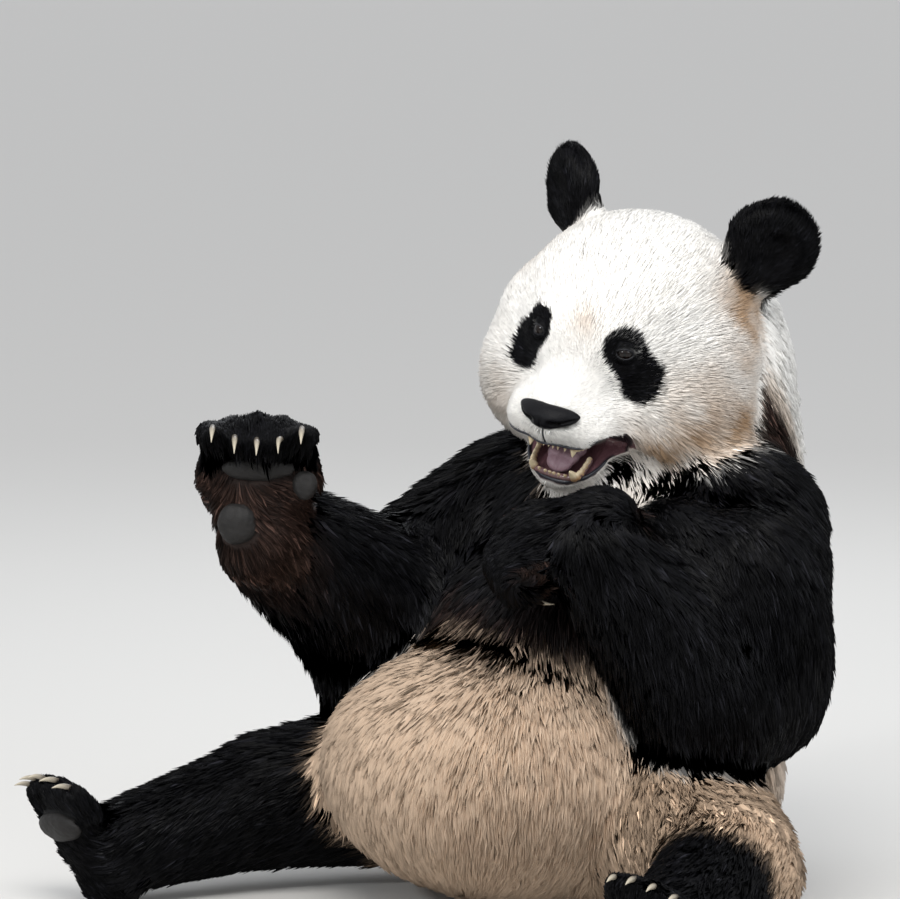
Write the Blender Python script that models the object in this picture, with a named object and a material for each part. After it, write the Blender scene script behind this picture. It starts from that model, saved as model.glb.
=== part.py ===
"""A giant panda, life size, sitting on its rump and feeding, as solids of the coat's outline.

Metres, +Z up. The panda faces -Y and its own left is +X. The origin is on the floor under the rump.
Every region of the body is grown from rounded masses that are fused, smoothed and thinned, and is then
parted from its neighbours by cuts GAP wide, so each named part is one closed solid.
"""

import math

import bmesh
import bpy
from mathutils import Matrix, Vector
from mathutils.bvhtree import BVHTree

GAP = 0.0003  # clear space between neighbouring solids
SHELL_LIMIT = 3.0  # the most that a sharp corner of a cutter is pushed out, in gaps
TRUNK_VOXEL = 0.012
LIMB_VOXEL = 0.010
HEAD_VOXEL = 0.007
PAW_VOXEL = 0.005
MOUTH_VOXEL = 0.0016
SMOOTH_ANGLE = 50.0  # degrees: a sharper fold than this is shaded as an edge
SIDES = {"left": 1.0, "right": -1.0}

# Middles of the joints, by side.
SHOULDER = {"left": Vector((0.165, 0.130, 0.440)), "right": Vector((-0.165, 0.100, 0.430))}
ELBOW = {"left": Vector((0.270, -0.015, 0.266)), "right": Vector((-0.192, -0.096, 0.328))}
WRIST = {"left": Vector((0.190, -0.121, 0.436)), "right": Vector((-0.185, -0.286, 0.440))}
PALM = {"left": Vector((0.138, -0.139, 0.458)), "right": Vector((-0.160, -0.330, 0.492))}
HIP = {"left": Vector((0.140, 0.020, 0.135)), "right": Vector((-0.140, 0.010, 0.135))}
KNEE = {"left": Vector((0.375, -0.090, 0.098)), "right": Vector((-0.265, -0.225, 0.105))}
ANKLE = {"left": Vector((0.460, -0.270, 0.062)), "right": Vector((-0.315, -0.420, 0.066))}

HEAD_CENTRE = Vector((0.019, 0.107, 0.649))
HEAD_YAW, HEAD_PITCH, HEAD_ROLL = 15.5, 12.0, 12.0  # degrees: turned to its left, nose down, tilted


# ---------------------------------------------------------------- frames


def head_frame():
    """The skull's frame: -Y ahead, +X to its left and +Z up, turned as the head is held."""
    return (
        Matrix.Translation(HEAD_CENTRE)
        @ Matrix.Rotation(math.radians(HEAD_YAW), 4, "Z")
        @ Matrix.Rotation(math.radians(HEAD_PITCH), 4, "X")
        @ Matrix.Rotation(math.radians(HEAD_ROLL), 4, "Y")
    )


HEAD = head_frame()


def head_point(ahead, left, up):
    """A point given ahead of, left of and above the middle of the skull."""
    return HEAD @ Vector((left, -ahead, up))


def head_way(ahead, left, up):
    """A unit direction given in the same terms."""
    return (HEAD.to_3x3() @ Vector((left, -ahead, up))).normalized()


def hand_frame(origin, fingers, palm):
    """+Y runs along the fingers, +Z out of the palm or sole, and +X across."""
    y = Vector(fingers).normalized()
    z = Vector(palm)
    z = (z - y * z.dot(y)).normalized()
    x = y.cross(z)
    return Matrix.Translation(origin) @ Matrix((x, y, z)).transposed().to_4x4()


# ---------------------------------------------------------------- materials


def material(name, colour, roughness):
    made = bpy.data.materials.new(name)
    made.use_nodes = True
    shader = made.node_tree.nodes["Principled BSDF"]
    shader.inputs["Base Color"].default_value = (*colour, 1.0)
    shader.inputs["Roughness"].default_value = roughness
    return made


def coat_materials():
    return {
        "white_coat": material("white_coat", (0.86, 0.83, 0.76), 0.8),
        "tan_coat": material("tan_coat", (0.55, 0.42, 0.29), 0.8),
        "black_coat": material("black_coat", (0.016, 0.015, 0.017), 0.75),
        "nose_skin": material("nose_skin", (0.025, 0.025, 0.028), 0.4),
        "pad_skin": material("pad_skin", (0.045, 0.043, 0.045), 0.6),
        "eye_gloss": material("eye_gloss", (0.020, 0.012, 0.008), 0.05),
        "claw_horn": material("claw_horn", (0.62, 0.57, 0.47), 0.4),
        "tooth_ivory": material("tooth_ivory", (0.75, 0.60, 0.36), 0.35),
        "tongue_flesh": material("tongue_flesh", (0.48, 0.25, 0.28), 0.45),
    }


# ---------------------------------------------------------------- masses and how they are joined


def blob(bm, centre, radii, turn=None, detail=3):
    """One ellipsoid mass, whose axes follow the rotation of turn."""
    place = Matrix.Translation(centre)
    if turn is not None:
        place = place @ turn.to_3x3().to_4x4()
    place = place @ Matrix.Diagonal((*radii, 1.0))
    bmesh.ops.create_icosphere(bm, subdivisions=detail, radius=1.0, matrix=place)


def limb(bm, start, end, start_radius, end_radius):
    """A tapered length of flesh: a close row of round masses from start to end."""
    step = 0.25 * min(start_radius, end_radius)
    count = max(2, math.ceil((end - start).length / step) + 1)
    for i in range(count):
        share = i / (count - 1)
        radius = start_radius + (end_radius - start_radius) * share
        blob(bm, start.lerp(end, share), (radius, radius, radius), None, 2)


def mesh_object(name, bm):
    mesh = bpy.data.meshes.new(name)
    bm.to_mesh(mesh)
    bm.free()
    made = bpy.data.objects.new(name, mesh)
    bpy.context.scene.collection.objects.link(made)
    return made


def helper_object(name, bm):
    """A cutter, which is no part of the panda."""
    made = mesh_object(name, bm)
    made.hide_render = True
    made.display_type = "WIRE"
    return made


def settled(obj):
    """Gives the object the mesh that its modifiers make, and clears them."""
    graph = bpy.context.evaluated_depsgraph_get()
    mesh = bpy.data.meshes.new_from_object(obj.evaluated_get(graph))
    obj.modifiers.clear()
    obj.data = mesh
    return obj


def thinned(obj, triangles):
    count = sum(len(p.vertices) - 2 for p in obj.data.polygons)
    thin = obj.modifiers.new("thin", "DECIMATE")
    thin.ratio = min(1.0, triangles / count)
    obj.modifiers.new("flat_faces", "TRIANGULATE")
    return settled(obj)


def fused(name, bm, voxel, smoothing, triangles):
    """Makes one smooth closed body of overlapping masses, thinned to about that many triangles."""
    obj = mesh_object(name, bm)
    remesh = obj.modifiers.new("fuse", "REMESH")
    remesh.mode = "VOXEL"
    remesh.voxel_size = voxel
    smooth = obj.modifiers.new("smooth", "SMOOTH")
    smooth.factor = 0.5
    smooth.iterations = smoothing
    settled(obj)
    return thinned(obj, triangles)


def helper_copy(obj, grow):
    """A cutter: the same body, grown all round."""
    made = bpy.data.objects.new(obj.name + "_cutter", obj.data.copy())
    bpy.context.scene.collection.objects.link(made)
    made.hide_render = True
    made.display_type = "WIRE"
    bm = bmesh.new()
    bm.from_mesh(made.data)
    bm.normal_update()
    moves = [vert.normal * grow * min(vert.calc_shell_factor(), SHELL_LIMIT) for vert in bm.verts]
    for vert, move in zip(bm.verts, moves):
        vert.co += move
    bm.to_mesh(made.data)
    bm.free()
    return made


def carve(obj, cutter):
    """Takes the cutter's volume out of the object, and removes the cutter."""
    cut = obj.modifiers.new("carve", "BOOLEAN")
    cut.operation = "DIFFERENCE"
    cut.object = cutter
    cut.solver = "EXACT"
    obj.modifiers.new("flat_faces", "TRIANGULATE")
    settled(obj)
    bpy.data.objects.remove(cutter)


def keep_largest(obj):
    """Drops the crumbs that a cut between two rounded surfaces can leave."""
    bm = bmesh.new()
    bm.from_mesh(obj.data)
    left = set(bm.verts)
    islands = []
    while left:
        island = []
        front = [left.pop()]
        while front:
            vert = front.pop()
            island.append(vert)
            near = [edge.other_vert(vert) for edge in vert.link_edges]
            fresh = [other for other in near if other in left]
            left.difference_update(fresh)
            front.extend(fresh)
        islands.append(island)
    islands.sort(key=len)
    crumbs = [vert for island in islands[:-1] for vert in island]
    bmesh.ops.delete(bm, geom=crumbs, context="VERTS")
    bm.to_mesh(obj.data)
    bm.free()


def yield_to(obj, *neighbours):
    """Cuts the object back from each neighbour, so that they meet with a thin gap."""
    for neighbour in neighbours:
        carve(obj, helper_copy(neighbour, GAP))
    keep_largest(obj)


def sliced(obj, point, normal):
    """Removes all that lies on the normal's side of a plane, and caps the cut."""
    bm = bmesh.new()
    bm.from_mesh(obj.data)
    geometry = bm.verts[:] + bm.edges[:] + bm.faces[:]
    bmesh.ops.bisect_plane(bm, geom=geometry, dist=1e-6, plane_co=point, plane_no=normal, clear_outer=True)
    rim = [edge for edge in bm.edges if edge.is_boundary]
    caps = bmesh.ops.holes_fill(bm, edges=rim, sides=0)["faces"]
    bmesh.ops.triangulate(bm, faces=caps)
    bmesh.ops.recalc_face_normals(bm, faces=bm.faces)
    bm.to_mesh(obj.data)
    bm.free()


def parted(source, names, planes):
    """Divides the source at the planes, each a point and the way onward, and returns the named parts."""
    made = []
    for i, name in enumerate(names):
        part = bpy.data.objects.new(name, source.data.copy())
        bpy.context.scene.collection.objects.link(part)
        cuts = []
        if i > 0:
            cuts.append((planes[i - 1][0], -planes[i - 1][1].normalized()))
        if i < len(planes):
            cuts.append((planes[i][0], planes[i][1].normalized()))
        for point, normal in cuts:
            sliced(part, point - normal * (GAP / 2), normal)
        keep_largest(part)
        made.append(part)
    bpy.data.objects.remove(source)
    return made


def rested(obj):
    """Gives what would dip below the floor a small flat on it."""
    if min(vert.co.z for vert in obj.data.vertices) < 0.0:
        sliced(obj, Vector((0, 0, 0)), Vector((0, 0, -1)))


def surface_point(obj, start, way):
    """Where a straight line meets the object."""
    tree = BVHTree.FromPolygons(
        [vert.co for vert in obj.data.vertices],
        [face.vertices[:] for face in obj.data.polygons],
    )
    return tree.ray_cast(start, way)[0]


# ---------------------------------------------------------------- trunk, from the rump to the neck

HIP_CUT = (Vector((0.0, 0.020, 0.145)), Vector((0.0, -0.42, 1.0)))
BAND_CUT = (Vector((0.0, 0.130, 0.275)), Vector((0.0, -0.08, 1.0)))
NECK_CUT = (Vector((0.0, 0.320, 0.495)), Vector((0.0, 0.40, 1.0)))


def build_trunk():
    bm = bmesh.new()
    blob(bm, (0, 0.030, 0.150), (0.262, 0.245, 0.185))  # rump
    blob(bm, (0, -0.075, 0.165), (0.235, 0.235, 0.165))  # belly
    blob(bm, (0, 0.055, 0.270), (0.235, 0.220, 0.185))  # waist
    blob(bm, (0, 0.130, 0.385), (0.235, 0.195, 0.185))  # ribs
    blob(bm, (0, 0.160, 0.480), (0.190, 0.160, 0.130))  # withers
    for side in SIDES.values():
        blob(bm, (0.120 * side, 0.130, 0.430), (0.100, 0.125, 0.115))  # shoulder blade
        blob(bm, (0.060 * side, 0.040, 0.400), (0.090, 0.090, 0.110))  # breast
    limb(bm, Vector((0.006, 0.175, 0.500)), Vector((0.016, 0.170, 0.630)), 0.172, 0.152)  # neck
    whole = fused("trunk", bm, TRUNK_VOXEL, 12, 760)
    rested(whole)
    form = helper_copy(whole, 0.0)
    return parted(whole, ["rump", "belly", "chest", "neck"], [HIP_CUT, BAND_CUT, NECK_CUT]), form


def build_tail():
    bm = bmesh.new()
    limb(bm, Vector((0, 0.225, 0.085)), Vector((0, 0.300, 0.042)), 0.050, 0.040)
    tail = fused("tail", bm, LIMB_VOXEL, 4, 100)
    rested(tail)
    return tail


# ---------------------------------------------------------------- head

MOUTH_CORNER = (0.116, -0.058)  # ahead of and above the skull's middle
UPPER_LIP = (0.260, -0.061)
LOWER_LIP = (0.190, -0.114)
THROAT = (0.095, -0.250)  # the jaw and the skull are parted from the mouth's corner down to here
MUZZLE_ROOM = 0.072  # half the width of the space that is cleared for the lower jaw
LIFTED_LIP = ((0.166, 0.060, -0.056), (0.022, 0.032, 0.019))  # where the lip is drawn up on the left
EYE_LEFT, EYE_UP = 0.061, 0.050
EYE_RADIUS = 0.0115
EYE_DEPTH = 0.0035  # from the coat's surface to the front of the eye
EYE_CLEARANCE = 0.0012
SOCKET_RADIUS = 0.0224  # of the flaring socket, where its cone ends outside the coat
SOCKET_REACH = 0.020
NOSE_UP = -0.020
ROW_SQUARENESS = 2.2  # of a row of teeth, seen from above
ROW_BACK = 0.60  # where a row begins, as a share of its reach
GUM_STEPS = 52  # round a row of teeth
EAR_LEFT, EAR_UP, EAR_AHEAD = 0.134, 0.145, -0.055
EAR_RADII = (0.061, 0.028, 0.061)
EAR_TURN = 38.0  # degrees outward


def jaw_frame():
    """The lower jaw's frame at the mouth's corner: -Y runs along its upper edge to the lip."""
    drop = math.atan2(MOUTH_CORNER[1] - LOWER_LIP[1], LOWER_LIP[0] - MOUTH_CORNER[0])
    start = Matrix.Translation(head_point(MOUTH_CORNER[0], 0, MOUTH_CORNER[1]))
    return start @ HEAD.to_3x3().to_4x4() @ Matrix.Rotation(drop, 4, "X")


def jaw_room():
    """All that lies below the upper lip and ahead of the throat, as a prism across the muzzle."""
    outline = (MOUTH_CORNER, UPPER_LIP, (UPPER_LIP[0], THROAT[1]), THROAT)
    bm = bmesh.new()
    rim = []
    for left in (-MUZZLE_ROOM, MUZZLE_ROOM):
        for ahead, up in outline:
            rim.append(bm.verts.new(head_point(ahead, left, up)))
    for face in ((0, 1, 2, 3), (7, 6, 5, 4), (0, 4, 5, 1), (1, 5, 6, 2), (2, 6, 7, 3), (3, 7, 4, 0)):
        bm.faces.new([rim[i] for i in face])
    bmesh.ops.recalc_face_normals(bm, faces=bm.faces)
    return helper_object("jaw_room", bm)


def build_head():
    """The head with its lower jaw, the jaw parted from it, and a helper copy of the two in one."""
    frame = jaw_frame()
    bm = bmesh.new()
    blob(bm, head_point(0.005, 0, 0.018), (0.155, 0.152, 0.150), HEAD)  # skull
    for side in SIDES.values():
        blob(bm, head_point(0.044, 0.079 * side, -0.036), (0.100, 0.104, 0.099), HEAD)  # cheek
        blob(bm, head_point(0.025, 0.098 * side, 0.010), (0.072, 0.090, 0.090), HEAD)  # temple
        blob(bm, head_point(0.040, 0.064 * side, -0.074), (0.080, 0.080, 0.072), HEAD)  # jowl
        blob(bm, head_point(0.098, 0.044 * side, 0.056), (0.042, 0.040, 0.034), HEAD)  # brow ridge
        blob(bm, head_point(0.150, 0.036 * side, -0.040), (0.046, 0.056, 0.038), HEAD)  # upper lip
    blob(bm, head_point(0.070, 0, 0.036), (0.112, 0.095, 0.095), HEAD)  # forehead
    limb(bm, head_point(0.090, 0, 0.012), head_point(0.178, 0, -0.030), 0.064, 0.045)  # bridge
    blob(bm, frame @ Vector((0, 0.010, -0.022)), (0.064, 0.060, 0.050), frame)  # root of the jaw
    blob(bm, frame @ Vector((0, -0.042, -0.016)), (0.057, 0.052, 0.042), frame)  # chin
    head = fused("head", bm, HEAD_VOXEL, 5, 880)
    form = helper_copy(head, 0.0)

    jaw = bpy.data.objects.new("lower_jaw", head.data.copy())
    bpy.context.scene.collection.objects.link(jaw)
    sliced(jaw, frame @ Vector((0, 0, 0)), frame.to_3x3() @ Vector((0, 0, 1)))
    back = head_way(-(MOUTH_CORNER[1] - THROAT[1]), 0, MOUTH_CORNER[0] - THROAT[0])
    sliced(jaw, head_point(MOUTH_CORNER[0], 0, MOUTH_CORNER[1]) - back * GAP, back)
    for side in SIDES.values():
        sliced(jaw, head_point(0, (MUZZLE_ROOM - GAP) * side, 0), head_way(0, side, 0))
    keep_largest(jaw)
    carve(head, jaw_room())
    (ahead, left, up), radii = LIFTED_LIP
    bm = bmesh.new()
    blob(bm, head_point(ahead, left, up), radii, HEAD, 2)
    carve(head, helper_object("lip_cutter", bm))
    keep_largest(head)
    bm = bmesh.new()
    blob(bm, frame @ Vector((0, -0.038, 0.006)), (0.046, 0.056, 0.022), frame, 1)
    carve(jaw, helper_object("mouth_floor_cutter", bm))
    return head, jaw, form


def build_tongue():
    frame = jaw_frame()
    bm = bmesh.new()
    limb(bm, frame @ Vector((0, -0.022, 0.002)), frame @ Vector((0, -0.066, 0.004)), 0.010, 0.009)
    for side in SIDES.values():
        start = frame @ Vector((0.012 * side, -0.022, 0.001))
        end = frame @ Vector((0.012 * side, -0.060, 0.003))
        limb(bm, start, end, 0.009, 0.008)
    return fused("tongue", bm, 0.003, 3, 80)


def tooth(bm, root, tip, radius):
    """A pointed tooth, as a row of shrinking round masses."""
    count = 8
    for i in range(count):
        share = i / (count - 1)
        size = radius * (1.0 - share) ** 0.7 + 0.0008
        blob(bm, root.lerp(tip, share), (size, size, size), None, 1)


def row_across(angle, spread):
    """How far to the side a row of teeth lies: its sides are nearly straight, and its front is broad."""
    return spread * math.tanh(ROW_SQUARENESS * math.cos(angle)) / math.tanh(ROW_SQUARENESS)


def build_teeth(name, frame, way, reach, spread, canine_length):
    """A row of teeth round the front of one jaw, with the gum that they grow from."""
    up = frame.to_3x3() @ Vector((0, 0, way))
    bm = bmesh.new()
    gum = []
    for i in range(GUM_STEPS + 1):
        angle = math.pi * (i / GUM_STEPS)
        along = reach * (ROW_BACK + (1.0 - ROW_BACK) * math.sin(angle))
        gum.append(frame @ Vector((row_across(angle, spread), -along, 0)))
    for point in gum:
        blob(bm, point, (0.0042, 0.0042, 0.0042), None, 1)
    for i in (2, 6, 10, 14, 38, 42, 46, 50):
        tooth(bm, gum[i], gum[i] + up * 0.007, 0.0040)  # cheek teeth
    for i in (18, 34):
        tooth(bm, gum[i], gum[i] + up * canine_length, 0.0046)  # canines
    for i in (22, 24, 26, 28, 30):
        tooth(bm, gum[i], gum[i] + up * 0.008, 0.0026)  # incisors
    return fused(name, bm, MOUTH_VOXEL, 1, 220)


def build_nose(head):
    tip = surface_point(head, head_point(0.40, 0, NOSE_UP), head_way(-1, 0, 0))
    tip = HEAD.inverted() @ tip
    ahead, up = -tip.y, tip.z
    bm = bmesh.new()
    blob(bm, head_point(ahead - 0.008, 0, up + 0.001), (0.034, 0.018, 0.0130), HEAD)
    for side in SIDES.values():
        blob(bm, head_point(ahead - 0.015, 0.023 * side, up + 0.003), (0.019, 0.019, 0.0105), HEAD)
    blob(bm, head_point(ahead - 0.007, 0, up - 0.008), (0.019, 0.014, 0.0110), HEAD)
    return fused("nose", bm, 0.003, 2, 130)


def build_eye(head, side_name):
    """A round eye, and a flaring socket for it in the head."""
    side = SIDES[side_name]
    surface = surface_point(head, head_point(0.40, EYE_LEFT * side, EYE_UP), head_way(-1, 0, 0))
    axis = head_way(0.86, 0.46 * side, 0.10)
    centre = surface - axis * (EYE_DEPTH + EYE_RADIUS)
    turn = axis.to_track_quat("Z", "Y").to_matrix().to_4x4()
    bm = bmesh.new()
    bmesh.ops.create_uvsphere(
        bm, u_segments=10, v_segments=6, radius=EYE_RADIUS, matrix=Matrix.Translation(centre) @ turn
    )
    eye = mesh_object("eye_" + side_name, bm)
    back = EYE_RADIUS + EYE_CLEARANCE
    length = back + EYE_RADIUS + EYE_DEPTH + SOCKET_REACH
    middle = centre + axis * (length / 2 - back)
    bm = bmesh.new()
    bmesh.ops.create_cone(
        bm,
        cap_ends=True,
        segments=9,
        radius1=back,
        radius2=SOCKET_RADIUS,
        depth=length,
        matrix=Matrix.Translation(middle) @ turn,
    )
    carve(head, helper_object("socket_cutter", bm))
    return eye


def build_ear(side_name):
    """A round, thick ear, hollowed a little in front."""
    side = SIDES[side_name]
    turn = HEAD @ Matrix.Rotation(math.radians(EAR_TURN * side), 4, "Z")
    centre = head_point(EAR_AHEAD, EAR_LEFT * side, EAR_UP)
    front = (turn.to_3x3() @ Vector((0, -1, 0))).normalized()
    bm = bmesh.new()
    blob(bm, centre, EAR_RADII, turn)
    blob(bm, head_point(EAR_AHEAD, (EAR_LEFT - 0.018) * side, EAR_UP - 0.035), (0.045, 0.030, 0.040), turn)
    ear = fused("ear_" + side_name, bm, 0.006, 2, 130)
    bm = bmesh.new()
    blob(bm, centre + front * 0.030, (0.036, 0.022, 0.036), turn, 1)
    carve(ear, helper_object("hollow_cutter", bm))
    return ear


# ---------------------------------------------------------------- claws and pads

CLAW_LENGTH = 0.028
CLAW_RADIUS = 0.0038
CLAW_BEND = 70.0  # degrees from root to tip
CLAW_WIDTH = 0.8  # of its depth
CLAW_TAPER = 0.6


def build_claw(name, root, way, hook, length, radius):
    """A tapering claw that leaves root along way and bends towards hook."""
    sides, rings, bend = 5, 3, math.radians(CLAW_BEND)
    across = way.cross(hook).normalized()
    bm = bmesh.new()
    loops = []
    for i in range(rings):
        share = i / rings
        angle = bend * share
        centre = root + (way * math.sin(angle) + hook * (1 - math.cos(angle))) * (length / bend)
        outward = hook * math.cos(angle) - way * math.sin(angle)
        size = radius * (1.0 - share) ** CLAW_TAPER
        loop = []
        for k in range(sides):
            turn = 2 * math.pi * k / sides
            aside = across * (size * CLAW_WIDTH * math.cos(turn))
            loop.append(bm.verts.new(centre + aside + outward * (size * math.sin(turn))))
        loops.append(loop)
    tip = bm.verts.new(root + (way * math.sin(bend) + hook * (1 - math.cos(bend))) * (length / bend))
    for lower, upper in zip(loops, loops[1:]):
        for k in range(sides):
            bm.faces.new((lower[k], lower[(k + 1) % sides], upper[(k + 1) % sides], upper[k]))
    for k in range(sides):
        bm.faces.new((loops[-1][k], loops[-1][(k + 1) % sides], tip))
    bm.faces.new(loops[0])
    bmesh.ops.recalc_face_normals(bm, faces=bm.faces)
    return mesh_object(name, bm)


def build_pad(name, frame, place, radii):
    """A bare pad, as a low dome on the palm or sole."""
    bm = bmesh.new()
    blob(bm, frame @ Vector(place), radii, frame, 1)
    return mesh_object(name, bm)


# ---------------------------------------------------------------- arms

FINGERS = {"left": (-0.66, -0.70, -0.26), "right": (0.0, 0.0, 1.0)}
PALM_WAY = {"left": (-0.25, 0.25, -0.93), "right": (0.743, -0.669, 0.0)}
DIGIT_ACROSS = (-0.055, -0.027, 0.000, 0.027, 0.055)
KNUCKLE_DROP = (0.017, 0.004, 0.000, 0.004, 0.012)  # how much lower each knuckle is, thumb side first
END_DROP = (-0.010, 0.001, 0.003, 0.001, -0.012)  # the same for the ends: the outer digits curl less
KNUCKLE_REACH = {"left": 0.072, "right": 0.088}  # from the palm's middle to the knuckles
PALM_PAD = {"left": (0.0, 0.0, 0.028), "right": (0.0, 0.034, 0.028)}
WRIST_PAD = {"left": (0.024, -0.012, 0.066), "right": (-0.024, -0.030, 0.036)}
CLAW_LEAN = {"left": -0.30, "right": 0.10}  # how far a claw leans towards the knuckles
END_REACH = {"left": 0.032, "right": 0.070}
END_DEPTH = {"left": 0.032, "right": 0.046}  # how far the digits curl out of the palm
FALSE_THUMB = (0.054, 0.014, 0.012)  # the bone beside the palm that bamboo is gripped against
SHOULDER_RADIUS = 0.118
ARM_RADII = {"left": (0.096, 0.068), "right": (0.112, 0.076)}  # elbow and wrist, with their coat
ARM_COAT = {  # the long coat that hangs about the upper arm and elbow: the middle and radii of each mass
    "left": (
        (Vector((0.262, 0.050, 0.335)), (0.098, 0.108, 0.158)),  # below the elbow
        (Vector((0.254, 0.076, 0.290)), (0.088, 0.096, 0.114)),  # behind the elbow
        (Vector((0.230, 0.104, 0.405)), (0.088, 0.086, 0.100)),  # behind the upper arm
        (Vector((0.188, 0.012, 0.428)), (0.084, 0.084, 0.072)),  # in the bend of the elbow
    ),
    "right": ((Vector((-0.200, -0.105, 0.290)), (0.085, 0.105, 0.100)),),
}


def build_arm(side_name):
    """Upper arm and forearm, parted at the elbow."""
    shoulder, elbow, wrist = SHOULDER[side_name], ELBOW[side_name], WRIST[side_name]
    bm = bmesh.new()
    elbow_radius, wrist_radius = ARM_RADII[side_name]
    limb(bm, shoulder, elbow, SHOULDER_RADIUS, elbow_radius)
    limb(bm, elbow, wrist, elbow_radius, wrist_radius)
    for centre, radii in ARM_COAT[side_name]:
        blob(bm, centre, radii)
    whole = fused("arm", bm, LIMB_VOXEL, 12, 300)
    cut = (elbow, (wrist - shoulder).normalized())
    return whole, cut


def build_fore_paw(side_name):
    """Palm and five curled digits, then their claws and pads."""
    frame = hand_frame(PALM[side_name], FINGERS[side_name], PALM_WAY[side_name])
    thumbward = -SIDES[side_name]
    bm = bmesh.new()
    blob(bm, frame.translation, (0.062, 0.055, 0.036), frame)
    blob(bm, frame @ Vector((0, -0.050, 0)), (0.054, 0.055, 0.042), frame)
    across, along, out = FALSE_THUMB
    blob(bm, frame @ Vector((across * thumbward, along, out)), (0.021, 0.026, 0.020), frame)
    knuckles = []
    for across, knuckle_drop, end_drop in zip(DIGIT_ACROSS, KNUCKLE_DROP, END_DROP):
        across *= -thumbward
        base = frame @ Vector((across, 0.030 - knuckle_drop, -0.004))
        knuckle = frame @ Vector((across * 1.03, KNUCKLE_REACH[side_name] - knuckle_drop, 0.010))
        end = frame @ Vector((across * 0.93, END_REACH[side_name] - end_drop, END_DEPTH[side_name]))
        limb(bm, base, knuckle, 0.021, 0.019)
        limb(bm, knuckle, end, 0.019, 0.016)
        knuckles.append(end)
    paw = fused("fore_paw_" + side_name, bm, PAW_VOXEL, 3, 280)
    lean = CLAW_LEAN[side_name]
    way = frame.to_3x3() @ Vector((0, lean, 1.0)).normalized()
    hook = frame.to_3x3() @ Vector((0, -1.0, lean)).normalized()
    claws = []
    for i, end in enumerate(knuckles):
        name = f"fore_claw_{side_name}_{i + 1}"
        claws.append(build_claw(name, end + way * 0.011, way, hook, CLAW_LENGTH, CLAW_RADIUS))
    thumb_place = (FALSE_THUMB[0] * thumbward, FALSE_THUMB[1], FALSE_THUMB[2] + 0.017)
    pads = [
        build_pad(f"palm_pad_{side_name}", frame, PALM_PAD[side_name], (0.042, 0.015, 0.011)),
        build_pad(f"thumb_pad_{side_name}", frame, thumb_place, (0.014, 0.017, 0.010)),
        build_pad(f"wrist_pad_{side_name}", frame, WRIST_PAD[side_name], (0.023, 0.024, 0.013)),
    ]
    return paw, claws, pads


# ---------------------------------------------------------------- legs

TOES = {"left": (0.45, -0.45, 0.75), "right": (-0.20, -0.45, 0.87)}
SOLE_WAY = {"left": (0.30, -0.90, -0.30), "right": (-0.10, -0.90, -0.40)}
TOE_ACROSS = (-0.044, -0.023, 0.000, 0.023, 0.044)
TOE_DROP = (0.012, 0.003, 0.000, 0.004, 0.013)
FOOT_AHEAD = 0.030  # how far the sole's middle stands out from the ankle


def build_leg(side_name):
    """Thigh and shank, parted at the knee."""
    hip, knee, ankle = HIP[side_name], KNEE[side_name], ANKLE[side_name]
    bm = bmesh.new()
    limb(bm, hip, knee, 0.130, 0.090)
    limb(bm, knee, ankle, 0.086, 0.062)
    whole = fused("leg", bm, LIMB_VOXEL, 6, 250)
    rested(whole)
    return whole, (knee, (ankle - hip).normalized())


def build_foot(side_name):
    sole = Vector(SOLE_WAY[side_name]).normalized()
    toes = Vector(TOES[side_name]).normalized()
    frame = hand_frame(ANKLE[side_name] + sole * FOOT_AHEAD + toes * 0.020, toes, sole)
    bm = bmesh.new()
    blob(bm, frame @ Vector((0, -0.045, 0)), (0.042, 0.048, 0.036), frame)  # heel
    blob(bm, frame.translation, (0.047, 0.070, 0.032), frame)
    blob(bm, frame @ Vector((0, 0.042, 0.002)), (0.054, 0.040, 0.030), frame)  # ball
    ends = []
    for across, drop in zip(TOE_ACROSS, TOE_DROP):
        base = frame @ Vector((across, 0.055 - drop, 0.0))
        end = frame @ Vector((across * 1.08, 0.088 - drop, 0.004))
        limb(bm, base, end, 0.020, 0.017)
        ends.append(end)
    foot = fused("hind_foot_" + side_name, bm, PAW_VOXEL, 3, 236)
    rested(foot)
    way = frame.to_3x3() @ Vector((0, 0.97, 0.20)).normalized()
    hook = frame.to_3x3() @ Vector((0, -0.20, 0.97)).normalized()
    claws = []
    for i, end in enumerate(ends):
        name = f"hind_claw_{side_name}_{i + 1}"
        claws.append(build_claw(name, end + way * 0.006, way, hook, CLAW_LENGTH, CLAW_RADIUS))
    pads = [
        build_pad(f"sole_pad_{side_name}", frame, (0.0, 0.040, 0.024), (0.044, 0.020, 0.012)),
    ]
    return foot, claws, pads


# ---------------------------------------------------------------- the whole panda


def finish(objects, coat, name):
    for obj in objects:
        obj.data.materials.clear()
        obj.data.materials.append(coat[name])
        for face in obj.data.polygons:
            face.material_index = 0
        obj.data.shade_smooth()
        obj.data.set_sharp_from_angle(angle=math.radians(SMOOTH_ANGLE))


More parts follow.
